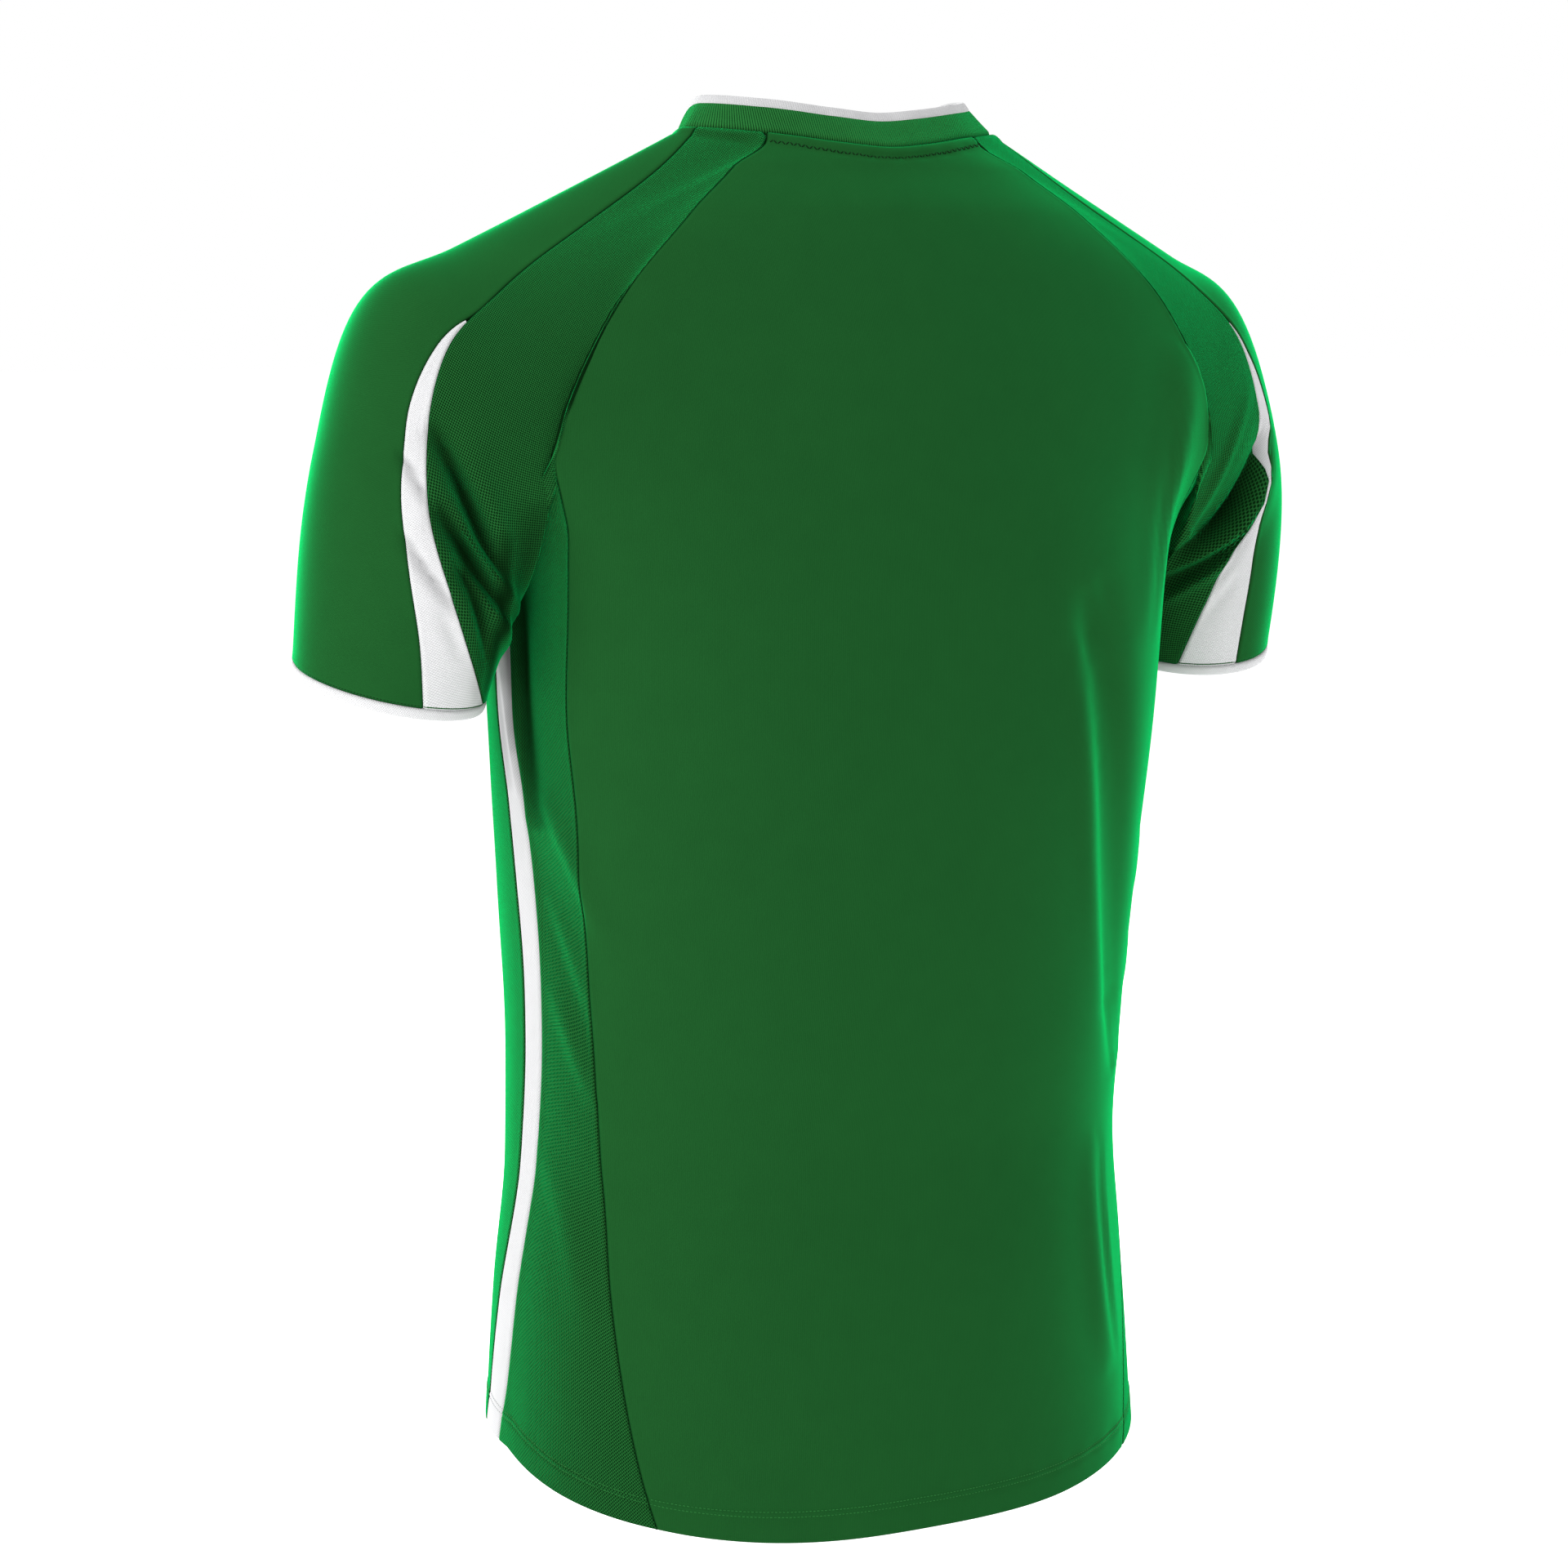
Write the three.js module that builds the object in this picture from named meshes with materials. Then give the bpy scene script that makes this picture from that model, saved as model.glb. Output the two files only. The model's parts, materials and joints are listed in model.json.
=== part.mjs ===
// A short-sleeved football jersey with raglan sleeves, filled out as if worn, hollow and open at neck, cuffs and hem.
// Millimetres, +Z up. The wearer faces -Y and their left side is +X. The origin lies between the two points where the
// collar meets the shoulders.
import * as THREE from 'three';

// Cloth and sewing
const WALL = 1.4;
const SEAM_GAP = 0.3;

// Lengths of the jersey
const SIDE_HEM = -751;
const TAIL_DROP = 49;
const FRONT_RISE = 22;
const COLLAR_RIB_SHARE = 0.74;
const CUFF_BAND_HEIGHT = 6;

// Numbers of facets
const SIDE_ROWS = 20;
const RAGLAN_ROWS = 10;
const BACK_COLUMNS = 18;
const SIDE_COLUMNS = 4;
const STRIPE_COLUMNS = 1;
const SLEEVE_ROWS = 15;
const WEDGE_COLUMNS = 3;
const COLLAR_STRETCH_COLUMNS = 6;
const MESH_COLUMNS_AT_COLLAR = 2;
const EVEN_SAMPLES = 200;

// Level sections of the body of the jersey: half its width, where its back and front lie, its middle, and how
// square it is, 2 being an ellipse
const SECTIONS = [
  { z: 0, halfWidth: 100, back: 44, front: -48, middle: 0, square: 1.5 },
  { z: -12, halfWidth: 125, back: 50, front: -56, middle: 0, square: 1.65 },
  { z: -25, halfWidth: 150, back: 58, front: -64, middle: 0, square: 1.85 },
  { z: -50, halfWidth: 200, back: 76, front: -80, middle: -2, square: 1.85 },
  { z: -106, halfWidth: 300, back: 98, front: -110, middle: -5, square: 1.6 },
  { z: -150, halfWidth: 312, back: 108, front: -125, middle: -7, square: 1.65 },
  { z: -181, halfWidth: 300, back: 112, front: -132, middle: -8, square: 1.67 },
  { z: -204, halfWidth: 262, back: 115, front: -136, middle: -9, square: 1.85 },
  { z: -223, halfWidth: 236, back: 116, front: -138, middle: -9, square: 2.05 },
  { z: -240, halfWidth: 224, back: 117, front: -140, middle: -10, square: 2.2 },
  { z: -262, halfWidth: 217, back: 118, front: -141, middle: -10, square: 2.3 },
  { z: -323, halfWidth: 211, back: 119, front: -143, middle: -12, square: 2.3 },
  { z: -430, halfWidth: 203, back: 110, front: -144, middle: -17, square: 2.25 },
  { z: -520, halfWidth: 198, back: 102, front: -145, middle: -20, square: 2.2 },
  { z: -590, halfWidth: 196, back: 95, front: -148, middle: -26, square: 2.2 },
  { z: -666, halfWidth: 203, back: 98, front: -153, middle: -28, square: 2.2 },
  { z: -800, halfWidth: 212, back: 104, front: -158, middle: -27, square: 2.2 },
];

// Seams that run down the side, as turns from the middle of the back: where the back panel ends, the two edges of
// the side stripe, and where the front panel begins
const SIDE_SEAMS = [
  { z: -181, back: 73.4, stripeBack: 90.5, stripeFront: 95.5, front: 109 },
  { z: -262, back: 77, stripeBack: 90.5, stripeFront: 95.5, front: 107 },
  { z: -323, back: 77.7, stripeBack: 91, stripeFront: 96, front: 106 },
  { z: -380, back: 76.5, stripeBack: 88.6, stripeFront: 93.5, front: 106 },
  { z: -480, back: 75.5, stripeBack: 86.2, stripeFront: 91.3, front: 106 },
  { z: -575, back: 73.4, stripeBack: 87.2, stripeFront: 92.4, front: 106.5 },
  { z: -618, back: 71.7, stripeBack: 89, stripeFront: 94.2, front: 107.5 },
  { z: -666, back: 69.5, stripeBack: 90.3, stripeFront: 96.6, front: 110 },
  { z: -710, back: 67.2, stripeBack: 91.6, stripeFront: 98.8, front: 112 },
  { z: -755, back: 64.2, stripeBack: 93.6, stripeFront: 100.8, front: 115 },
  { z: -800, back: 60, stripeBack: 94.5, stripeFront: 101.7, front: 117 },
];

// Armhole seams from the collar down to the armpit, as heights and turns
const BACK_ARMHOLE = [
  { z: -5, turn: 66.5 },
  { z: -12, turn: 64.5 },
  { z: -25, turn: 67.3 },
  { z: -50, turn: 67.5 },
  { z: -106, turn: 70.5 },
  { z: -150, turn: 71.9 },
  { z: -181, turn: 73.4 },
  { z: -204, turn: 76.5 },
  { z: -223, turn: 80 },
  { z: -240, turn: 83.5 },
  { z: -255, turn: 88 },
  { z: -259, turn: 90.5 },
];
const FRONT_ARMHOLE = [
  { z: -33, turn: 125 },
  { z: -60, turn: 120 },
  { z: -110, turn: 115.5 },
  { z: -150, turn: 112.5 },
  { z: -181, turn: 109 },
  { z: -204, turn: 106.5 },
  { z: -223, turn: 104 },
  { z: -240, turn: 101 },
  { z: -255, turn: 97 },
  { z: -259, turn: 95.5 },
];

// Loops of the sleeve beyond the armhole: the point under the arm, the point on its outside, how far the cloth
// stands behind and before the line between them, and how much its back hangs lower than its front
const SLEEVE_LOOPS = [
  { along: 0.3, inner: [219.5, -11, -267], outer: [238, -17, -68], behind: 70, before: 65, drop: 0 },
  { along: 0.5, inner: [219, -15, -276], outer: [291, -23, -96], behind: 68, before: 66, drop: 0 },
  { along: 0.7, inner: [221, -20, -288], outer: [320, -20, -175], behind: 65, before: 63, drop: 4 },
  { along: 1, inner: [226, -30, -312], outer: [330, -34, -301], behind: 55, before: 53, drop: 13 },
];

// Seams across the sleeve, as turns round it from under the arm by its back: between mesh and white wedge, and
// between wedge and smooth top. They are one seam above the wedge's tip. The right sleeve is twisted further, and a
// deep fold pinches its wedge at two thirds of its length.
const SLEEVE_SEAMS = [
  { along: 0, mesh: 168, top: 168, rightMesh: 168, rightTop: 168 },
  { along: 0.1, mesh: 158, top: 158, rightMesh: 158, rightTop: 158 },
  { along: 0.2, mesh: 149, top: 149, rightMesh: 150, rightTop: 150 },
  { along: 0.3, mesh: 141, top: 141, rightMesh: 142, rightTop: 142 },
  { along: 0.4, mesh: 134, top: 135, rightMesh: 132, rightTop: 133 },
  { along: 0.5, mesh: 128.5, top: 133.5, rightMesh: 120, rightTop: 126 },
  { along: 0.6, mesh: 124, top: 135, rightMesh: 110.5, rightTop: 126 },
  { along: 0.65, mesh: 120, top: 133, rightMesh: 107, rightTop: 115 },
  { along: 0.7, mesh: 114, top: 130, rightMesh: 70, rightTop: 93 },
  { along: 0.8, mesh: 91, top: 118, rightMesh: 57, rightTop: 89 },
  { along: 0.9, mesh: 68, top: 106, rightMesh: 50.5, rightTop: 87.5 },
  { along: 1, mesh: 45, top: 98.6, rightMesh: 46, rightTop: 88 },
];
const WEDGE_TIP = 0.4;

// The largest folds: the pieces whose cloth they lift, a curve from one place past another to a third, how far the
// slopes reach to each side, and how high the fold stands, or how deep it lies
const FOLDS = [
  { on: 'sleeve', from: [287, 36, -160], over: [270, 47, -208], to: [248, 42, -247], width: 10, height: -7 },
  { on: 'sleeve', from: [286, 42, -208], over: [269, 46, -239], to: [246, 36, -262], width: 9, height: -5 },
  { on: 'sleeve', from: [-286, 38, -174], over: [-262, 50, -214], to: [-232, 38, -244], width: 11, height: -9 },
  { on: 'sleeve', from: [-290, 38, -194], over: [-268, 48, -236], to: [-236, 28, -266], width: 11, height: 4 },
  { on: '', from: [-203, 66, -125], over: [-180, 78, -205], to: [-164, 82, -300], width: 18, height: 5 },
  { on: '', from: [-96, 109, -290], over: [-122, 92, -415], to: [-152, 66, -510], width: 18, height: 5 },
  { on: '', from: [-141, 64, -590], over: [-136, 71, -666], to: [-154, 64, -735], width: 16, height: 4 },
  { on: '', from: [205, -3, -385], over: [199, 14, -446], to: [184, 32, -505], width: 15, height: -3.5 },
  { on: 'sleeve', from: [290, -66, -185], over: [266, -82, -222], to: [240, -76, -246], width: 10, height: -6 },
  { on: 'sleeve', from: [-288, -68, -168], over: [-268, -82, -210], to: [-244, -78, -240], width: 11, height: -6 },
  { on: '', from: [140, -118, -270], over: [120, -132, -390], to: [146, -112, -520], width: 20, height: 5 },
];
const FOLD_SAMPLES = 24;
const FOLD_TAPER = 0.7;

// The neckline, where panels and sleeves meet the collar
const NECKLINE = [
  { turn: 0, z: -12 },
  { turn: 35, z: -9.5 },
  { turn: BACK_ARMHOLE[0].turn, z: BACK_ARMHOLE[0].z },
  { turn: 90, z: -2 },
  { turn: 105, z: -10 },
  { turn: FRONT_ARMHOLE[0].turn, z: FRONT_ARMHOLE[0].z },
  { turn: 150, z: -60 },
  { turn: 180, z: -72 },
];

// The free edge of the collar: its reach from its middle, and its height
const COLLAR_TOP_MIDDLE = -10;
const COLLAR_TOP = [
  { turn: 0, reach: 46, z: 7 },
  { turn: 35, reach: 54, z: 9.5 },
  { turn: 66, reach: 75, z: 14 },
  { turn: 90, reach: 87, z: 16.5 },
  { turn: 115, reach: 84, z: 6 },
  { turn: 150, reach: 77, z: -42 },
  { turn: 180, reach: 73, z: -58 },
];

const radians = THREE.MathUtils.degToRad;
const mix = THREE.MathUtils.lerp;

// Value of a smooth curve without overshoot through the rows of a table, at a place along one of its columns
function read(table, key, column, at) {
  const last = table.length - 1;
  const sign = Math.sign(table[last][key] - table[0][key]);
  let i = 0;
  while (i < last - 1 && sign * (at - table[i + 1][key]) > 0) i += 1;
  const slope = (row) => (table[row + 1][column] - table[row][column]) / (table[row + 1][key] - table[row][key]);
  const tangent = (row) => {
    if (row === 0) return slope(0);
    if (row === last) return slope(last - 1);
    const before = slope(row - 1);
    const after = slope(row);
    return before * after > 0 ? (2 * before * after) / (before + after) : 0;
  };
  const span = table[i + 1][key] - table[i][key];
  const t = THREE.MathUtils.clamp((at - table[i][key]) / span, 0, 1);
  const fade = t * t * (3 - 2 * t);
  const start = tangent(i) * span * t * (1 - t) * (1 - t);
  const end = tangent(i + 1) * span * t * t * (1 - t);
  return mix(table[i][column], table[i + 1][column], fade) + start - end;
}

// Point of the body's outer surface at a turn from the middle of the back, to the wearer's left, and a height
function bodyPoint({ turn, z }) {
  const halfWidth = read(SECTIONS, 'z', 'halfWidth', z);
  const middle = read(SECTIONS, 'z', 'middle', z);
  const square = read(SECTIONS, 'z', 'square', z);
  const across = Math.sin(radians(turn));
  const deep = Math.cos(radians(turn));
  const depth = deep > 0 ? read(SECTIONS, 'z', 'back', z) - middle : middle - read(SECTIONS, 'z', 'front', z);
  const reach = (Math.abs(across / halfWidth) ** square + Math.abs(deep / depth) ** square) ** (-1 / square);
  return new THREE.Vector3(reach * across, middle + reach * deep, z);
}

const necklineAt = (turn) => ({ turn, z: read(NECKLINE, 'turn', 'z', Math.abs(turn > 180 ? 360 - turn : turn)) });

// The hem: lowest at the back, highest at the front
function hemAt(turn) {
  const back = Math.cos(radians(turn));
  const rise = back > 0 ? -TAIL_DROP * (1 - (1 - back) ** 2) : FRONT_RISE * (1 - (1 + back) ** 2);
  return { turn, z: SIDE_HEM + rise };
}

const steps = (count, make) => Array.from({ length: count + 1 }, (_, i) => make(i / count, i));
const blend = (from, to, t) => ({ turn: mix(from.turn, to.turn, t), z: mix(from.z, to.z, t) });

// Splits a run of turns and heights into equal lengths on the surface
function evenly(run, count) {
  const fine = steps(EVEN_SAMPLES, run);
  const lengths = [0];
  fine.slice(1).forEach((place, i) => {
    lengths.push(lengths[i] + bodyPoint(place).distanceTo(bodyPoint(fine[i])));
  });
  return steps(count, (share) => {
    const wanted = share * lengths[lengths.length - 1];
    const i = Math.min(Math.max(lengths.findIndex((length) => length >= wanted), 1), fine.length - 1);
    const t = (wanted - lengths[i - 1]) / (lengths[i] - lengths[i - 1]);
    return blend(fine[i - 1], fine[i], t);
  });
}

// One of the seams down the side, from the hem up to the armhole, where it bends quickly to meet its end
const MEETING = 12;
function sideSeam(column, top) {
  const turnAt = (z) => read(SIDE_SEAMS, 'z', column, z);
  const hem = hemAt(turnAt(SIDE_HEM));
  return steps(SIDE_ROWS, (share) => {
    const z = mix(hem.z, top.z, share);
    return share === 1 ? top : { turn: mix(turnAt(z), top.turn, share ** MEETING), z };
  });
}

// Fills the patch between four runs of turns and heights
function fill(bottom, top, left, right) {
  return left.map((_, row) => bottom.map((__, column) => {
    const u = column / (bottom.length - 1);
    const v = row / (left.length - 1);
    const value = (key) => {
      const sides = mix(left[row][key], right[row][key], u) + mix(bottom[column][key], top[column][key], v);
      const low = mix(bottom[0][key], bottom[bottom.length - 1][key], u);
      const high = mix(top[0][key], top[top.length - 1][key], u);
      return sides - mix(low, high, v);
    };
    return bodyPoint({ turn: value('turn'), z: value('z') });
  }));
}

const mirrored = (run) => run.map(({ turn, z }) => ({ turn: -turn, z }));
const mirrorGrid = (grid) => grid.map((row) => row.map((p) => new THREE.Vector3(-p.x, p.y, p.z)).reverse());

// The armhole, as the runs of places that the pieces round it share
const armhole = (table, z) => ({ turn: read(table, 'z', 'turn', z), z });
const SPLIT = -181;
const LOW_BACK = BACK_ARMHOLE[BACK_ARMHOLE.length - 1];
const LOW_FRONT = FRONT_ARMHOLE[FRONT_ARMHOLE.length - 1];
const backRaglan = evenly((t) => armhole(BACK_ARMHOLE, mix(SPLIT, BACK_ARMHOLE[0].z, t)), RAGLAN_ROWS);
const frontRaglan = evenly((t) => armhole(FRONT_ARMHOLE, mix(SPLIT, FRONT_ARMHOLE[0].z, t)), RAGLAN_ROWS);
const backScoop = evenly((t) => armhole(BACK_ARMHOLE, mix(SPLIT, LOW_BACK.z, t)), SIDE_COLUMNS);
const frontScoop = evenly((t) => armhole(FRONT_ARMHOLE, mix(LOW_FRONT.z, SPLIT, t)), SIDE_COLUMNS);
const pitTop = steps(STRIPE_COLUMNS, (t) => blend(LOW_BACK, LOW_FRONT, t));
const collarStretch = evenly((t) => necklineAt(mix(BACK_ARMHOLE[0].turn, FRONT_ARMHOLE[0].turn, t)),
  COLLAR_STRETCH_COLUMNS);

const backSeam = sideSeam('back', backRaglan[0]);
const stripeBackSeam = sideSeam('stripeBack', LOW_BACK);
const stripeFrontSeam = sideSeam('stripeFront', LOW_FRONT);
const frontSeam = sideSeam('front', frontRaglan[0]);

const hemBetween = (from, to, count) => steps(count, (t) => hemAt(mix(from.turn, to.turn, t)));

function backPanel() {
  const left = backSeam.concat(backRaglan.slice(1));
  const right = mirrored(left);
  const top = steps(BACK_COLUMNS, (t) => necklineAt(mix(-BACK_ARMHOLE[0].turn, BACK_ARMHOLE[0].turn, t)));
  return fill(hemBetween(right[0], left[0], BACK_COLUMNS), top, right, left);
}

function frontPanel() {
  const left = frontSeam.concat(frontRaglan.slice(1));
  const right = left.map(({ turn, z }) => ({ turn: 360 - turn, z }));
  const start = FRONT_ARMHOLE[0].turn;
  const top = steps(BACK_COLUMNS, (t) => necklineAt(mix(start, 360 - start, t)));
  return fill(hemBetween(left[0], right[0], BACK_COLUMNS), top, left, right);
}

const between = (from, to, top) => fill(hemBetween(from[0], to[0], top.length - 1), top, from, to);

// Round the armhole from the armpit, up the back, over the shoulder and down the front, with the turn round the
// sleeve that each place has
const LOOP_ANCHORS = { split: 62, backJoint: 152, frontJoint: 208, frontSplit: 303, pit: 352 };
function armholeLoop() {
  const runs = [
    { places: [...backScoop].reverse(), from: 0, to: LOOP_ANCHORS.split },
    { places: backRaglan, from: LOOP_ANCHORS.split, to: LOOP_ANCHORS.backJoint },
    { places: collarStretch, from: LOOP_ANCHORS.backJoint, to: LOOP_ANCHORS.frontJoint },
    { places: [...frontRaglan].reverse(), from: LOOP_ANCHORS.frontJoint, to: LOOP_ANCHORS.frontSplit },
    { places: [...frontScoop].reverse(), from: LOOP_ANCHORS.frontSplit, to: LOOP_ANCHORS.pit },
    { places: [...pitTop].reverse(), from: LOOP_ANCHORS.pit, to: 360 },
  ];
  return runs.flatMap(({ places, from, to }, run) => places
    .map((place, i) => ({ point: bodyPoint(place), round: mix(from, to, i / (places.length - 1)) }))
    .slice(run === 0 ? 0 : 1));
}
const LOOP = armholeLoop();
const MESH_TOP = SIDE_COLUMNS + RAGLAN_ROWS + MESH_COLUMNS_AT_COLLAR;

// Point of a spline through points at given knots
function spline(knots, points, at) {
  const last = knots.length - 1;
  const slope = (i) => points[i + 1].clone().sub(points[i]).divideScalar(knots[i + 1] - knots[i]);
  const inner = (i) => slope(i - 1).lerp(slope(i), (knots[i] - knots[i - 1]) / (knots[i + 1] - knots[i - 1]));
  const tangent = (i) => {
    if (i === 0) return slope(0).multiplyScalar(1.5).addScaledVector(inner(1), -0.5);
    if (i === last) return slope(last - 1).multiplyScalar(1.5).addScaledVector(inner(last - 1), -0.5);
    return inner(i);
  };
  let i = 0;
  while (i < last - 1 && at > knots[i + 1]) i += 1;
  const span = knots[i + 1] - knots[i];
  const t = (at - knots[i]) / span;
  return points[i].clone().lerp(points[i + 1], t * t * (3 - 2 * t))
    .addScaledVector(tangent(i), span * t * (1 - t) * (1 - t))
    .addScaledVector(tangent(i + 1), -span * t * t * (1 - t));
}

function loopPoint(loop, round) {
  const inner = new THREE.Vector3(...loop.inner);
  const outer = new THREE.Vector3(...loop.outer);
  const back = Math.sin(radians(round));
  const point = inner.lerp(outer, (1 - Math.cos(radians(round))) / 2);
  point.y += back * (back > 0 ? loop.behind : loop.before);
  point.z -= back * loop.drop;
  return point;
}

function armholePoint(round) {
  let i = 0;
  while (i < LOOP.length - 2 && round > LOOP[i + 1].round) i += 1;
  const t = (round - LOOP[i].round) / (LOOP[i + 1].round - LOOP[i].round);
  return LOOP[i].point.clone().lerp(LOOP[i + 1].point, t);
}

// Point of the left sleeve at a turn round it and a share of the way from the armhole to the cuff
function sleevePoint(round, along) {
  const knots = [0, ...SLEEVE_LOOPS.map((loop) => loop.along)];
  return spline(knots, [armholePoint(round), ...SLEEVE_LOOPS.map((loop) => loopPoint(loop, round))], along);
}

// Where a seam of the sleeve runs, and the turns that each sleeve piece's rows have at a place along the sleeve
const LEFT = { mesh: 'mesh', top: 'top' };
const RIGHT = { mesh: 'rightMesh', top: 'rightTop' };
function seamRound(side, seam, along) {
  if (along === 0) return LOOP[MESH_TOP].round;
  return read(SLEEVE_SEAMS, 'along', along < WEDGE_TIP ? side.mesh : side[seam], along);
}
const meshRounds = (side, along) => LOOP.slice(0, MESH_TOP + 1)
  .map(({ round }) => (round / LOOP[MESH_TOP].round) * seamRound(side, 'mesh', along));
const topRounds = (side, along) => LOOP.slice(MESH_TOP)
  .map(({ round }) => 360 - ((360 - round) / (360 - LOOP[MESH_TOP].round)) * (360 - seamRound(side, 'top', along)));
const wedgeRounds = (side, along) => steps(WEDGE_COLUMNS,
  (t) => mix(seamRound(side, 'mesh', along), seamRound(side, 'top', along), t));

function sleeveGrid(rounds, side, from) {
  const places = steps(SLEEVE_ROWS, (share) => share).filter((along) => along >= from);
  return rounds(side, 0).map((_, row) => places.map((along) => sleevePoint(rounds(side, along)[row], along)));
}

// Turns round the whole neckline at which the panels and sleeves that meet it have their corners
function necklineTurns() {
  const joint = BACK_ARMHOLE[0].turn;
  const frontJoint = FRONT_ARMHOLE[0].turn;
  const shoulder = collarStretch.map(({ turn }) => turn).slice(1, -1);
  const back = steps(BACK_COLUMNS, (t) => mix(-joint, joint, t));
  const front = steps(BACK_COLUMNS, (t) => mix(frontJoint, 360 - frontJoint, t));
  return [...back, ...shoulder, ...front, ...shoulder.map((turn) => 360 - turn).reverse()];
}

// Rows of points round the neck, between two shares of the way from the neckline to the collar's free edge
function collarGrid(from, to, rows) {
  return steps(rows, (share) => necklineTurns().map((turn) => {
    const foot = bodyPoint(necklineAt(turn));
    const side = turn > 180 ? 360 - turn : Math.abs(turn);
    const reach = read(COLLAR_TOP, 'turn', 'reach', side);
    const top = new THREE.Vector3(reach * Math.sin(radians(turn)), COLLAR_TOP_MIDDLE + reach * Math.cos(radians(turn)),
      read(COLLAR_TOP, 'turn', 'z', side));
    return foot.lerp(top, mix(from, to, share));
  }));
}

// Rows of points round the cuff, from the free edge of the white band up to the sleeve's hem. The band carries on the
// slope that the sleeve has from this share of its length to its end.
const CUFF_SLOPE_FROM = 0.94;
function cuffGrid(side) {
  const rounds = [meshRounds, wedgeRounds, topRounds].flatMap((piece) => piece(side, 1).slice(0, -1));
  return steps(1, (share) => rounds.map((round) => {
    const hem = sleevePoint(round, 1);
    const down = hem.clone().sub(sleevePoint(round, CUFF_SLOPE_FROM)).normalize();
    return hem.addScaledVector(down, CUFF_BAND_HEIGHT * (1 - share));
  }));
}

// The pieces of the jersey: rows of points on their outer faces, each row's direction crossed with the columns'
// direction pointing out of the garment
const KNIT = { color: 0x1f6a35, roughness: 0.62 };
const RIB = { color: 0x1c6233, roughness: 0.75 };
const WHITE = { color: 0xe9e9eb, roughness: 0.75 };

const sidePieces = (side) => [
  { name: 'side_mesh_back', grid: between(backSeam, stripeBackSeam, backScoop), finish: KNIT },
  { name: 'side_stripe', grid: between(stripeBackSeam, stripeFrontSeam, pitTop), finish: WHITE },
  { name: 'side_mesh_front', grid: between(stripeFrontSeam, frontSeam, frontScoop), finish: KNIT },
  { name: 'sleeve_mesh', grid: sleeveGrid(meshRounds, side, 0), finish: KNIT },
  { name: 'sleeve_wedge', grid: sleeveGrid(wedgeRounds, side, WEDGE_TIP), finish: WHITE },
  { name: 'sleeve_top', grid: sleeveGrid(topRounds, side, 0), finish: KNIT },
  { name: 'cuff_band', grid: cuffGrid(side), finish: WHITE, ring: true },
];
const pieces = [
  { name: 'back_panel', grid: backPanel(), finish: KNIT },
  { name: 'front_panel', grid: frontPanel(), finish: KNIT },
  { name: 'collar_rib', grid: collarGrid(0, COLLAR_RIB_SHARE, 2), finish: RIB, ring: true },
  { name: 'collar_edge', grid: collarGrid(COLLAR_RIB_SHARE, 1, 1), finish: WHITE, ring: true },
  ...sidePieces(LEFT).map((piece) => ({ ...piece, name: `${piece.name}_left` })),
  ...sidePieces(RIGHT).map((piece) => ({ ...piece, name: `${piece.name}_right`, grid: mirrorGrid(piece.grid) })),
];

// Outward normals, shared where pieces meet so that their walls are mitred at the seam
const PLACES_PER_MM = 50;
const corner = (p) => [p.x, p.y, p.z].map((value) => Math.round(value * PLACES_PER_MM)).join(' ');
function sharedNormals() {
  const normals = new Map();
  const add = (a, b, c) => {
    const normal = b.clone().sub(a).cross(c.clone().sub(a));
    [a, b, c].forEach((p) => {
      const key = corner(p);
      normals.set(key, (normals.get(key) ?? new THREE.Vector3()).add(normal));
    });
  };
  pieces.forEach(({ grid, ring }) => {
    const width = grid[0].length;
    for (let row = 0; row < grid.length - 1; row += 1) {
      for (let column = 0; column < (ring ? width : width - 1); column += 1) {
        const next = (column + 1) % width;
        add(grid[row][column], grid[row + 1][column], grid[row + 1][next]);
        add(grid[row][column], grid[row + 1][next], grid[row][next]);
      }
    }
  });
  normals.forEach((normal) => normal.normalize());
  return normals;
}
const NORMALS = sharedNormals();

// How far the folds lift the cloth of a piece at a point
function foldHeight(name, point) {
  return FOLDS.filter(({ on }) => name.startsWith(on)).reduce((lift, { from, over, to, width, height }) => {
    const curve = new THREE.QuadraticBezierCurve3(...[from, over, to].map((place) => new THREE.Vector3(...place)));
    const gaps = steps(FOLD_SAMPLES, (share) => ({ share, gap: curve.getPoint(share).distanceTo(point) }));
    const { share, gap } = gaps.reduce((nearest, place) => (place.gap < nearest.gap ? place : nearest));
    return lift + height * Math.sin(Math.PI * share) ** FOLD_TAPER * Math.exp(-((gap / width) ** 2));
  }, 0);
}

// Lifts a point by the folds and, on the edge of a piece, moves it inwards over the cloth by half a seam's gap
function insetPoint({ name, grid, ring }, row, column) {
  const rows = grid.length;
  const columns = grid[0].length;
  const at = (r, c) => grid[r][ring ? (c + columns) % columns : c];
  const normal = NORMALS.get(corner(grid[row][column]));
  const point = grid[row][column].clone().addScaledVector(normal, foldHeight(name, grid[row][column]));
  const pull = (alongEdge, inside) => {
    const inward = alongEdge.cross(normal).normalize();
    if (inward.dot(inside) < 0) inward.negate();
    point.addScaledVector(inward, SEAM_GAP / 2);
  };
  if (row === 0 || row === rows - 1) {
    const before = ring || column > 0 ? at(row, column - 1) : grid[row][column];
    const after = ring || column < columns - 1 ? at(row, column + 1) : grid[row][column];
    pull(after.clone().sub(before), at(row === 0 ? 1 : rows - 2, column).clone().sub(grid[row][column]));
  }
  if (!ring && (column === 0 || column === columns - 1)) {
    const before = grid[Math.max(row - 1, 0)][column];
    const after = grid[Math.min(row + 1, rows - 1)][column];
    pull(after.clone().sub(before), grid[row][column === 0 ? 1 : columns - 2].clone().sub(grid[row][column]));
  }
  return point;
}

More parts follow.
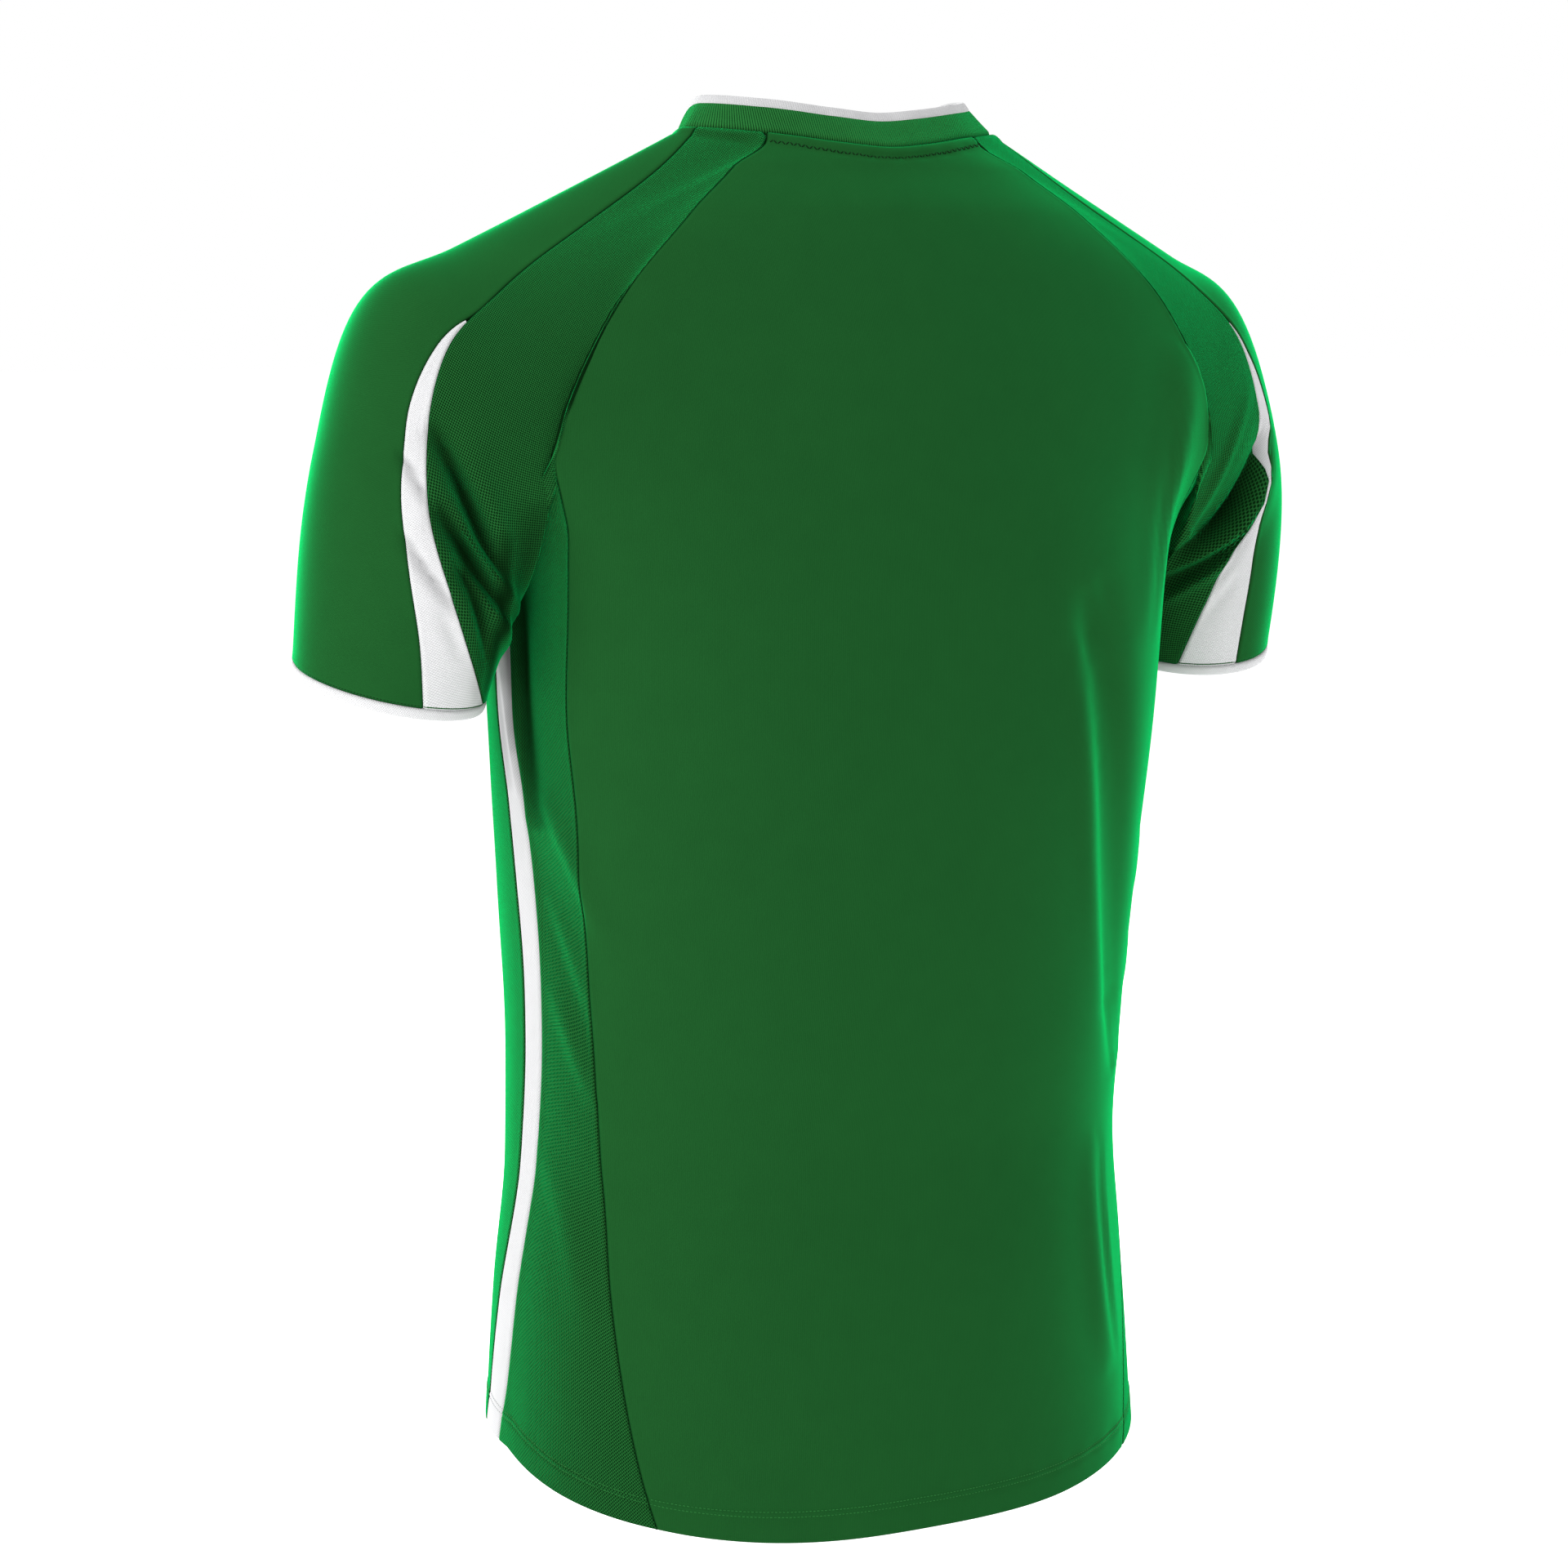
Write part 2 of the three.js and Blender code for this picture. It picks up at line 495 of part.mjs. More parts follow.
// A closed wall of cloth: the outer face, the inner face and the edges between them
function clothMesh(piece) {
  const { name, grid, finish, ring } = piece;
  const rows = grid.length;
  const columns = grid[0].length;
  const outer = grid.map((line, row) => line.map((_, column) => insetPoint(piece, row, column)));
  const inner = outer.map((line, row) => line.map((point, column) => {
    return point.clone().addScaledVector(NORMALS.get(corner(grid[row][column])), -WALL);
  }));
  const points = [...outer.flat(), ...inner.flat()];
  const positions = points.flatMap((point) => point.toArray());
  const out = (row, column) => row * columns + (column % columns);
  const into = (row, column) => rows * columns + out(row, column);
  const faces = [];
  const quad = (a, b, c, d) => faces.push(a, b, c, a, c, d);
  const side = (a, b, c, d) => {
    const shorter = points[a].distanceTo(points[c]) < points[b].distanceTo(points[d]);
    quad(...(shorter ? [a, b, c, d] : [b, c, d, a]));
  };
  const spans = ring ? columns : columns - 1;
  for (let row = 0; row < rows - 1; row += 1) {
    for (let column = 0; column < spans; column += 1) {
      quad(out(row, column), out(row + 1, column), out(row + 1, column + 1), out(row, column + 1));
      faces.push(into(row, column), into(row + 1, column + 1), into(row + 1, column));
      faces.push(into(row, column), into(row, column + 1), into(row + 1, column + 1));
    }
  }
  for (let column = 0; column < spans; column += 1) {
    side(out(0, column), out(0, column + 1), into(0, column + 1), into(0, column));
    side(out(rows - 1, column + 1), out(rows - 1, column), into(rows - 1, column), into(rows - 1, column + 1));
  }
  if (!ring) {
    for (let row = 0; row < rows - 1; row += 1) {
      side(out(row + 1, 0), out(row, 0), into(row, 0), into(row + 1, 0));
      side(out(row, columns - 1), out(row + 1, columns - 1), into(row + 1, columns - 1), into(row, columns - 1));
    }
  }
  const geometry = new THREE.BufferGeometry();
  geometry.setAttribute('position', new THREE.Float32BufferAttribute(positions, 3));
  geometry.setIndex(faces);
  geometry.computeVertexNormals();
  const mesh = new THREE.Mesh(geometry, new THREE.MeshStandardMaterial({ ...finish, metalness: 0 }));
  mesh.name = name;
  return mesh;
}

const jersey = new THREE.Group();
pieces.forEach((piece) => jersey.add(clothMesh(piece)));

export default jersey;
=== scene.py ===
"""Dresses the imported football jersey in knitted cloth, seams and stitching, in a plain studio.

Lengths are millimetres until a mesh is made. The wearer faces -Y, their left is +X, and the origin lies
between the two points where the collar meets the shoulders. Turns are degrees: on the body from the middle of
the back to the wearer's left, and on a sleeve from under the arm by its back.
"""

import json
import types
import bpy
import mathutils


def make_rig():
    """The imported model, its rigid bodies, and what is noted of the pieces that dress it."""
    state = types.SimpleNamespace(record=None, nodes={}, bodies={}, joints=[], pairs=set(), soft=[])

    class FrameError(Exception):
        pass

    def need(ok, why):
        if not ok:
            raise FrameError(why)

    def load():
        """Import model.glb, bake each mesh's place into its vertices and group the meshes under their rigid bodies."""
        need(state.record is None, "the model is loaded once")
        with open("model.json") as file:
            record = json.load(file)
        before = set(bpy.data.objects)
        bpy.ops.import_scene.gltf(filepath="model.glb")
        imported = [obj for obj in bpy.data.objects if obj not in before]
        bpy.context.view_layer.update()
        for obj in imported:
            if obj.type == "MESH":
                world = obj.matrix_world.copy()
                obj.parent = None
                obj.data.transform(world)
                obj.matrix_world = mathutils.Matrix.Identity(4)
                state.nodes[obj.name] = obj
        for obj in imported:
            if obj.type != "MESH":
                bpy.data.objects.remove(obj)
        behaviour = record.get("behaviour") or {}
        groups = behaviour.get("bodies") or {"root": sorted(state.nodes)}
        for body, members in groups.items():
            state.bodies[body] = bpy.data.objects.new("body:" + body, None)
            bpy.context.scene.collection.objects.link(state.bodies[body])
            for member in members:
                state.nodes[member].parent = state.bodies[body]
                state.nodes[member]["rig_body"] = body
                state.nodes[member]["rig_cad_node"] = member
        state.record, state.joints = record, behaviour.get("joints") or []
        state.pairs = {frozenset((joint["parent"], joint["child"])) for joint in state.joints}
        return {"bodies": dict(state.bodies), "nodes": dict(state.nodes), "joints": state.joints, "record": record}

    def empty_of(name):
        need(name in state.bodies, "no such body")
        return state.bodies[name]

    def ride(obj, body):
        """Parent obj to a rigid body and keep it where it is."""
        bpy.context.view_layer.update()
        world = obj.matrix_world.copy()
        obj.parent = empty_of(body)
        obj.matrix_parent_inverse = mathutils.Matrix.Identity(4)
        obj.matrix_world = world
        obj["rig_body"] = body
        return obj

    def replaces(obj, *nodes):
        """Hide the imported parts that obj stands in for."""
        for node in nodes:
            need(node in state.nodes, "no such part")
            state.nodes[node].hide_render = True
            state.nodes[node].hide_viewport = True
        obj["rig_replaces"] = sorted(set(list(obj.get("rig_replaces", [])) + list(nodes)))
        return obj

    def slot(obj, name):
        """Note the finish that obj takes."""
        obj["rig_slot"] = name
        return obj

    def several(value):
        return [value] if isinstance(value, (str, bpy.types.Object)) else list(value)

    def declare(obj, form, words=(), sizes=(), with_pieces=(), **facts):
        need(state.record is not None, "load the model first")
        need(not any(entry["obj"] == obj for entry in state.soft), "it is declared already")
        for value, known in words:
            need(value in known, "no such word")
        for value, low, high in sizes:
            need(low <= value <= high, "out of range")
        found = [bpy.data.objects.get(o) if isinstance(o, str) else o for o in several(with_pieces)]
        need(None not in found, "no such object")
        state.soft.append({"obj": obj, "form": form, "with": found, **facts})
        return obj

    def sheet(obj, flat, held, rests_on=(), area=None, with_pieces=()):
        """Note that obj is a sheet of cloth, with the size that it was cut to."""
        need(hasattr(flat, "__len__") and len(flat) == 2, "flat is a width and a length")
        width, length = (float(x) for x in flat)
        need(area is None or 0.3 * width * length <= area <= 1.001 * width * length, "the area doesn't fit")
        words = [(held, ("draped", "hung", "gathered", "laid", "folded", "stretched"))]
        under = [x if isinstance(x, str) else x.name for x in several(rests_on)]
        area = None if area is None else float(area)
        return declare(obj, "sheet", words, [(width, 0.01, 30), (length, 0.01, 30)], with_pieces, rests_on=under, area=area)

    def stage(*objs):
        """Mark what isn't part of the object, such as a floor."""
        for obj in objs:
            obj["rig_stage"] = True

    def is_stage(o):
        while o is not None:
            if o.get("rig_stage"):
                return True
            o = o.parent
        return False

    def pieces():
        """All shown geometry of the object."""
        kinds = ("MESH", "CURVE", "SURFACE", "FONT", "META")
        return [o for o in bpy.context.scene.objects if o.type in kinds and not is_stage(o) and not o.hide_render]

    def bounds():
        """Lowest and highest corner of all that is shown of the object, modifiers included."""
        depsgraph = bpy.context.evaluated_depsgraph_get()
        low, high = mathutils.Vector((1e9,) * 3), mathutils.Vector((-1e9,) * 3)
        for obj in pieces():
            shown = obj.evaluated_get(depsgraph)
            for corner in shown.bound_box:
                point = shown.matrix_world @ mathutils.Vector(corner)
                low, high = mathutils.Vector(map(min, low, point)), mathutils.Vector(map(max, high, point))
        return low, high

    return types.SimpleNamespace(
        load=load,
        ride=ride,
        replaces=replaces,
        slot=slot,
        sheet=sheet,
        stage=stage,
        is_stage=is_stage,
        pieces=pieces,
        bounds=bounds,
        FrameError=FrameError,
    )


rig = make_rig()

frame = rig.load()
CAD_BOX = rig.bounds()

import json
import logging
import math
from dataclasses import dataclass, field
from enum import Enum
from typing import Callable, NamedTuple, Sequence

import bpy
import numpy as np
from mathutils import Vector

LOG = logging.getLogger("jersey")
METRE = 1000.0
Array = np.ndarray
Run = Callable[[Array], Array]


# Pattern tables, with the same values as the CAD's.
class Section(NamedTuple):
    """A level section of the body: half its width, its back, front and middle, and how square it is."""

    z: float
    half_width: float
    back: float
    front: float
    middle: float
    square: float


class SideSeams(NamedTuple):
    """Turns from the middle of the back at which the seams down the side run, at one height."""

    z: float
    back: float
    stripe_back: float
    stripe_front: float
    front: float


class Place(NamedTuple):
    """A place on the body: its height, and its turn from the middle of the back."""

    z: float
    turn: float


class SleeveLoop(NamedTuple):
    """A loop of the sleeve: its points under the arm and outside, and how its back and front stand off."""

    along: float
    inner: tuple[float, float, float]
    outer: tuple[float, float, float]
    behind: float
    before: float
    drop: float


class SleeveSeams(NamedTuple):
    """Turns round the sleeve of its two long seams, at a share of the way down it, for each side."""

    along: float
    mesh: float
    top: float
    right_mesh: float
    right_top: float


class CollarTop(NamedTuple):
    """Reach and height of the collar's free edge at a turn."""

    turn: float
    reach: float
    z: float


SECTIONS = (
    Section(0, 100, 44, -48, 0, 1.5),
    Section(-12, 125, 50, -56, 0, 1.65),
    Section(-25, 150, 58, -64, 0, 1.85),
    Section(-50, 200, 76, -80, -2, 1.85),
    Section(-106, 300, 98, -110, -5, 1.6),
    Section(-150, 312, 108, -125, -7, 1.65),
    Section(-181, 300, 112, -132, -8, 1.67),
    Section(-204, 262, 115, -136, -9, 1.85),
    Section(-223, 236, 116, -138, -9, 2.05),
    Section(-240, 224, 117, -140, -10, 2.2),
    Section(-262, 217, 118, -141, -10, 2.3),
    Section(-323, 211, 119, -143, -12, 2.3),
    Section(-430, 203, 110, -144, -17, 2.25),
    Section(-520, 198, 102, -145, -20, 2.2),
    Section(-590, 196, 95, -148, -26, 2.2),
    Section(-666, 203, 98, -153, -28, 2.2),
    Section(-800, 212, 104, -158, -27, 2.2),
)
SIDE_SEAMS = (
    SideSeams(-181, 73.4, 90.5, 95.5, 109),
    SideSeams(-262, 77, 90.5, 95.5, 107),
    SideSeams(-323, 77.7, 91, 96, 106),
    SideSeams(-380, 76.5, 88.6, 93.5, 106),
    SideSeams(-480, 75.5, 86.2, 91.3, 106),
    SideSeams(-575, 73.4, 87.2, 92.4, 106.5),
    SideSeams(-618, 71.7, 89, 94.2, 107.5),
    SideSeams(-666, 69.5, 90.3, 96.6, 110),
    SideSeams(-710, 67.2, 91.6, 98.8, 112),
    SideSeams(-755, 64.2, 93.6, 100.8, 115),
    SideSeams(-800, 60, 94.5, 101.7, 117),
)
BACK_ARMHOLE = (
    Place(-5, 66.5), Place(-12, 64.5), Place(-25, 67.3), Place(-50, 67.5), Place(-106, 70.5),
    Place(-150, 71.9), Place(-181, 73.4), Place(-204, 76.5), Place(-223, 80), Place(-240, 83.5),
    Place(-255, 88), Place(-259, 90.5),
)
FRONT_ARMHOLE = (
    Place(-33, 125), Place(-60, 120), Place(-110, 115.5), Place(-150, 112.5), Place(-181, 109),
    Place(-204, 106.5), Place(-223, 104), Place(-240, 101), Place(-255, 97), Place(-259, 95.5),
)
SLEEVE_LOOPS = (
    SleeveLoop(0.3, (219.5, -11, -267), (238, -17, -68), 70, 65, 0),
    SleeveLoop(0.5, (219, -15, -276), (291, -23, -96), 68, 66, 0),
    SleeveLoop(0.7, (221, -20, -288), (320, -20, -175), 65, 63, 4),
    SleeveLoop(1, (226, -30, -312), (330, -34, -301), 55, 53, 13),
)
SLEEVE_SEAMS = (
    SleeveSeams(0, 170.7, 170.7, 170.7, 170.7),
    SleeveSeams(0.1, 158, 158, 158, 158),
    SleeveSeams(0.2, 149, 149, 150, 150),
    SleeveSeams(0.3, 141, 141, 142, 142),
    SleeveSeams(0.4, 134, 134.6, 132, 132.6),
    SleeveSeams(0.5, 128.5, 133.5, 120, 126),
    SleeveSeams(0.6, 124, 135, 110.5, 126),
    SleeveSeams(0.65, 120, 133, 107, 115),
    SleeveSeams(0.7, 114, 130, 70, 93),
    SleeveSeams(0.8, 91, 118, 57, 89),
    SleeveSeams(0.9, 68, 106, 50.5, 87.5),
    SleeveSeams(1, 45, 98.6, 46, 88),
)
NECKLINE = (
    Place(-9.5, -35), Place(-12, 0), Place(-9.5, 35), Place(-5, 66.5), Place(-2, 90),
    Place(-10, 105), Place(-33, 125), Place(-60, 150), Place(-72, 180), Place(-60, 210),
)
COLLAR_TOP = (
    CollarTop(-35, 54, 9.5), CollarTop(0, 46, 7), CollarTop(35, 54, 9.5), CollarTop(66, 75, 14),
    CollarTop(90, 87, 16.5), CollarTop(115, 84, 6), CollarTop(150, 77, -42), CollarTop(180, 73, -58),
    CollarTop(210, 77, -42),
)

# The hem's height at the sides, how far the tail drops behind, and how far the front rises.
SIDE_HEM = -751.0
TAIL_DROP = 49.0
FRONT_RISE = 22.0
# Where the back raglan seam meets the seam down the side, and the share of the panel's side edge below it.
SPLIT = -181.0
SIDE_SHARE = 2 / 3
# How late a seam down the side turns to its place at the armhole: the higher, the later.
MEETING = 12
COLLAR_TOP_MIDDLE = -10.0
COLLAR_RIB_SHARE = 0.74
CUFF_BAND_HEIGHT = 6.0
CUFF_SLOPE_FROM = 0.94
WEDGE_TIP = 0.405
# Turns round the sleeve at which the six runs of the armhole meet.
JOINTS_ROUND = (0.0, 62.0, 152.0, 208.0, 303.0, 352.0, 360.0)

# Distances between a grid's lines: over the body, over the sleeves, and from an edge that is sewn.
CLOTH_CELL = 4.2
FINE_CELL = 3.2
EDGE_OFFSETS = (0.0, 0.7, 1.5, 2.4, 3.5, 5.0, 7.0, 9.6)
EDGE_SHARE = 0.42
CLOTH_THICKNESS = 1.0
TRIM_THICKNESS = 1.4
# The upper row of hem stitches above the edge, the lower row below it, and the rows of points beside them.
HEM_STITCH = 18.0
HEM_STITCH_GAP = 3.0
HEM_ROWS = (11, 13, 14.2, 15, 15.8, 17.2, 18, 18.8, 20)
NECK_STITCH = 7.5
CUFF_STITCH = 1.4
WEDGE_STITCH = 1.3
# Metres below which a sheet's flat size isn't stated, and how far its size exceeds its area.
MIN_CUT = 0.01
AREA_MARGIN = 1.001
# How far the cloth goes on under its neighbour at a seam, and how deep it lies there.
ALLOWANCE = 1.7
ALLOWANCE_DEPTH = 1.3
# The sleeve's back tucks under the armhole below this height, and its seam fades over this length above it.
TUCK_TOP = -168.0
TUCK_FADE = 12.0
# How strong the painted shade along the line of a seam, and on the allowance under its neighbour, is on green and on
# white cloth.
GREEN_SEAM_PAINTED_SHADE = 0.95
WHITE_SEAM_PAINTED_SHADE = 0.1
# How strong the ripples are, and how finely a fold's curve runs, how far it reaches and tapers, and how widely a
# crease's painted shade spreads.
RIPPLE = 0.6
FOLD_STEPS = 61
FOLD_REACH = 3
FOLD_TAPER = 0.7
PAINTED_SHADE_SPREAD = 0.6
SMOOTH_ANGLE = 50
# The four edges of a grid, and the columns of a sheet's values after its points and normals: the map's two directions
# and the painted shade.
FIRST_ROW, LAST_ROW, FIRST_COLUMN, LAST_COLUMN = range(4)
MAP_U, MAP_V, PAINTED_SHADE_COLUMN = 6, 7, 8


# The form of the jersey.
class Profile:
    """A smooth curve without overshoot through the rows of a table."""

    def __init__(self, at: Sequence[float], values: Sequence[float]) -> None:
        """Keeps the rows in rising order and works out the slope at each.

        Args:
            at: Places of the rows.
            values: Value at each row.
        """
        order = np.argsort(at)
        self.at = np.asarray(at, float)[order]
        self.values = np.asarray(values, float)[order]
        slopes = np.diff(self.values) / np.diff(self.at)
        before, after = slopes[:-1], slopes[1:]
        same_way = before * after > 0
        inner = np.where(same_way, 2 * before * after / np.where(same_way, before + after, 1), 0)
        self.slopes = np.concatenate([slopes[:1], inner, slopes[-1:]])

    @classmethod
    def of(cls, table: Sequence[tuple], key: str, column: str) -> "Profile":
        """Returns the curve of one named column of a table over another."""
        return cls([getattr(row, key) for row in table], [getattr(row, column) for row in table])

    def __call__(self, at: Array) -> Array:
        """Returns the values at any places.

        Args:
            at: The places.

        Returns:
            A value for each of them.
        """
        row = np.clip(np.searchsorted(self.at, at, side="right") - 1, 0, len(self.at) - 2)
        span = self.at[row + 1] - self.at[row]
        t = np.clip((at - self.at[row]) / span, 0, 1)
        fade = t * t * (3 - 2 * t)
        start = self.slopes[row] * span * t * (1 - t) ** 2
        end = self.slopes[row + 1] * span * t * t * (1 - t)
        return self.values[row] * (1 - fade) + self.values[row + 1] * fade + start - end


def blend(start: Array | float, end: Array | float, share: Array | float) -> Array:
    """Returns what lies a share of the way from start to end."""
    return start + (end - start) * share


def lengths_along(points: Array, axis: int) -> Array:
    """Returns the length run along one axis of a grid of points up to each of them.

    Args:
        points: The grid.
        axis: The axis, 0 for down the rows or 1 for across the columns.

    Returns:
        The lengths, which start at 0.
    """
    gaps = np.linalg.norm(np.diff(points, axis=axis), axis=-1)
    start = np.zeros_like(np.take(gaps, [0], axis=axis))
    return np.cumsum(np.concatenate([start, gaps], axis=axis), axis=axis)


def spacing(length: float, cell: float, fine_start: bool = True) -> Array:
    """Places of a grid's lines from 0 to 1, closer together beside the edges that are sewn.

    Args:
        length: Length that the lines divide, in millimetres.
        cell: Distance between lines away from the edges.
        fine_start: Whether the lines close up towards 0, as they do towards 1.

    Returns:
        The places, in rising order.
    """
    near = np.array(EDGE_OFFSETS) / length
    near = near[near < EDGE_SHARE]
    low = near if fine_start else near[:1]
    high = 1 - near[::-1]
    count = max(2, round((high[0] - low[-1]) * length / cell))
    return np.concatenate([low, np.linspace(low[-1], high[0], count + 1)[1:-1], high])


def rows_above_hem(length: float) -> Array:
    """Returns the places of a panel's rows from the hem up, with more of them beside the hem's stitches."""
    return np.unique(np.concatenate([spacing(length, CLOTH_CELL, False), np.array(HEM_ROWS) / length]))


class Torso:
    """The body of the jersey as a surface over turns from the middle of the back and heights."""

    def __init__(self) -> None:
        """Makes the curves of the sections, the seams and the neckline."""
        self.half_width = Profile.of(SECTIONS, "z", "half_width")
        self.back = Profile.of(SECTIONS, "z", "back")
        self.front = Profile.of(SECTIONS, "z", "front")
        self.middle = Profile.of(SECTIONS, "z", "middle")
        self.square = Profile.of(SECTIONS, "z", "square")
        self.neck_z = Profile.of(NECKLINE, "turn", "z")
        back_turn = Profile.of(BACK_ARMHOLE, "z", "turn")
        front_turn = Profile.of(FRONT_ARMHOLE, "z", "turn")
        high_back, high_front = BACK_ARMHOLE[0], FRONT_ARMHOLE[0]
        self.low_back, self.low_front = BACK_ARMHOLE[-1], FRONT_ARMHOLE[-1]
        self.neck_back, self.neck_front = high_back.turn, high_front.turn
        self.back_raglan = self.even(lambda t: self.armhole(back_turn, blend(SPLIT, high_back.z, t)))
        self.front_raglan = self.even(lambda t: self.armhole(front_turn, blend(SPLIT, high_front.z, t)))
        self.back_scoop = self.even(lambda t: self.armhole(back_turn, blend(SPLIT, self.low_back.z, t)))
        self.front_scoop = self.even(lambda t: self.armhole(front_turn, blend(self.low_front.z, SPLIT, t)))
        self.collar_stretch = self.even(lambda t: self.neckline(blend(self.neck_back, self.neck_front, t)))

    @staticmethod
    def armhole(turns: Profile, z: Array) -> Array:
        """Returns the armhole's turns and heights at the heights z."""
        return np.stack([turns(z), z], axis=-1)

    @staticmethod
    def pit(share: Array) -> Array:
        """Returns turns and heights across the top of the side stripe."""
        back, front = BACK_ARMHOLE[-1], FRONT_ARMHOLE[-1]
        return np.stack([blend(back.turn, front.turn, share), blend(back.z, front.z, share)], axis=-1)

    def point(self, turn: Array, z: Array) -> Array:
        """Returns points of the outer surface at turns and heights.

        Args:
            turn: Turns from the middle of the back.
            z: Heights, of the same shape.

        Returns:
            The points.
        """
        middle, square = self.middle(z), self.square(z)
        across, deep = np.sin(np.radians(turn)), np.cos(np.radians(turn))
        depth = np.where(deep > 0, self.back(z) - middle, middle - self.front(z))
        squares = np.abs(across / self.half_width(z)) ** square + np.abs(deep / depth) ** square
        reach = squares ** (-1 / square)
        return np.stack([reach * across, middle + reach * deep, z + 0 * reach], axis=-1)

    def neckline(self, turn: Array) -> Array:
        """Returns turns and heights of the neckline."""
        return np.stack([turn, self.neck_z(np.where(turn > 180, 360 - turn, np.abs(turn)))], axis=-1)

    @staticmethod
    def hem(turn: Array) -> Array:
        """Returns turns and heights of the hem: lowest at the back, highest at the front.

        Args:
            turn: Turns from the middle of the back.

        Returns:
            The turns with their heights.
        """
        back = np.cos(np.radians(turn))
        rise = np.where(back > 0, -TAIL_DROP * (1 - (1 - back) ** 2), FRONT_RISE * (1 - (1 + back) ** 2))
        return np.stack([turn, SIDE_HEM + rise], axis=-1)

    def even(self, run: Run, samples: int = 400) -> Run:
        """Makes a run of turns and heights even in length on the surface.

        Args:
            run: Gives turns and heights at shares of the way along.
            samples: How finely its length is measured.

        Returns:
            The same run at shares of its length.
        """
        fine = np.linspace(0, 1, samples + 1)
        places = run(fine)
        length = lengths_along(self.point(places[:, 0], places[:, 1]), 0)
        return lambda share: run(np.interp(np.asarray(share) * length[-1], length, fine))

    def side_seam(self, column: str, top: Array) -> Run:
        """Returns the run of one seam down the side, from the hem up to its place at the armhole.

        Args:
            column: The seam's column in the table of side seams.
            top: Its turn and height at the armhole.

        Returns:
            The run of turns and heights.
        """
        turns = Profile.of(SIDE_SEAMS, "z", column)
        bottom_z = self.hem(turns(np.array(SIDE_HEM)))[1]

        def run(share: Array) -> Array:
            """Returns turns and heights at shares of the seam's height."""
            z = blend(bottom_z, top[1], share)
            return np.stack([blend(turns(z), top[0], share ** MEETING), z], axis=-1)

        return run

    def patch(self, bottom: Run, top: Run, left: Run, right: Run, u: Array, v: Array) -> Array:
        """Fills the place between four runs of turns and heights with rows of points.

        Args:
            bottom: Lower edge, from left to right.
            top: Upper edge.
            left: Edge at u = 0, upwards.
            right: Edge at u = 1.
            u: Places of the columns.
            v: Places of the rows.

        Returns:
            Points, rows by columns by three.
        """
        across, up = u[None, :, None], v[:, None, None]
        low, high, start, end = bottom(u), top(u), left(v), right(v)
        sides = blend(start[:, None], end[:, None], across) + blend(low[None], high[None], up)
        corners = blend(blend(low[0], low[-1], across), blend(high[0], high[-1], across), up)
        places = sides - corners
        return self.point(places[..., 0], places[..., 1])


class Side(Enum):
    """The wearer's left or right, with the columns of its sleeve's seams."""

    LEFT = ("left", 1, "mesh", "top")
    RIGHT = ("right", -1, "right_mesh", "right_top")

    def __init__(self, label: str, sign: int, mesh: str, top: str) -> None:
        """Keeps the words and the sign of the side."""
        self.label, self.sign = label, sign
        self.mesh_column, self.top_column = mesh, top

    def place(self, points: Array) -> Array:
        """Returns points of the left side brought to this side."""
        return points * np.array([self.sign, 1, 1])


class SleeveForm:
    """The left sleeve as a surface over turns round it and shares of the way down it."""

    def __init__(self, torso: Torso) -> None:
        """Joins the runs of the armhole and spaces the loops.

        Args:
            torso: The body that the sleeve is sewn to.
        """
        runs: tuple[Run, ...] = (
            lambda t: torso.back_scoop(1 - t),
            torso.back_raglan,
            torso.collar_stretch,
            lambda t: torso.front_raglan(1 - t),
            lambda t: torso.front_scoop(1 - t),
            lambda t: torso.pit(1 - t),
        )
        share = np.linspace(0, 1, 121)
        rounds, places = [], []
        for run, start, end in zip(runs, JOINTS_ROUND[:-1], JOINTS_ROUND[1:]):
            rounds.append(blend(start, end, share)[:-1])
            places.append(run(share)[:-1])
        ring = np.concatenate(places)
        points = torso.point(ring[:, 0], ring[:, 1])
        self.rounds = np.append(np.concatenate(rounds), 360.0)
        self.armhole = np.concatenate([points, points[:1]])
        self.knots = [0.0, *(loop.along for loop in SLEEVE_LOOPS)]

    def loop(self, loop: SleeveLoop, turn: Array) -> Array:
        """Returns points of one loop at turns round it.

        Args:
            loop: The loop's row.
            turn: Turns round the sleeve.

        Returns:
            The points.
        """
        back = np.sin(np.radians(turn))
        share = ((1 - np.cos(np.radians(turn))) / 2)[..., None]
        points = blend(np.array(loop.inner, float), np.array(loop.outer, float), share)
        points[..., 1] += back * np.where(back > 0, loop.behind, loop.before)
        points[..., 2] -= back * loop.drop
        return points

    def point(self, turn: Array, along: Array) -> Array:
        """Returns points of the sleeve's outer surface.

        Args:
            turn: Turns round the sleeve.
            along: Shares of the way down it, of the same shape.

        Returns:
            The points, on a smooth curve through the armhole and the loops.
        """
        armhole = np.stack([np.interp(turn, self.rounds, axis) for axis in self.armhole.T], axis=-1)
        stations = [armhole, *(self.loop(loop, turn) for loop in SLEEVE_LOOPS)]
        knots, last = self.knots, len(self.knots) - 1
        slopes = [(stations[i + 1] - stations[i]) / (knots[i + 1] - knots[i]) for i in range(last)]
        shares = [(knots[i] - knots[i - 1]) / (knots[i + 1] - knots[i - 1]) for i in range(1, last)]
        inner = [blend(slopes[i], slopes[i + 1], share) for i, share in enumerate(shares)]
        tangents = [1.5 * slopes[0] - 0.5 * inner[0], *inner, 1.5 * slopes[-1] - 0.5 * inner[-1]]
        points = np.zeros_like(armhole)
        for i in range(last):
            span = knots[i + 1] - knots[i]
            here = (along >= knots[i]) if i == last - 1 else (along >= knots[i]) & (along < knots[i + 1])
            t = ((along - knots[i]) / span)[..., None]
            value = blend(stations[i], stations[i + 1], t * t * (3 - 2 * t))
            value = value + tangents[i] * span * t * (1 - t) ** 2
            value = value - tangents[i + 1] * span * t * t * (1 - t)
            points = np.where(here[..., None], value, points)
        return points


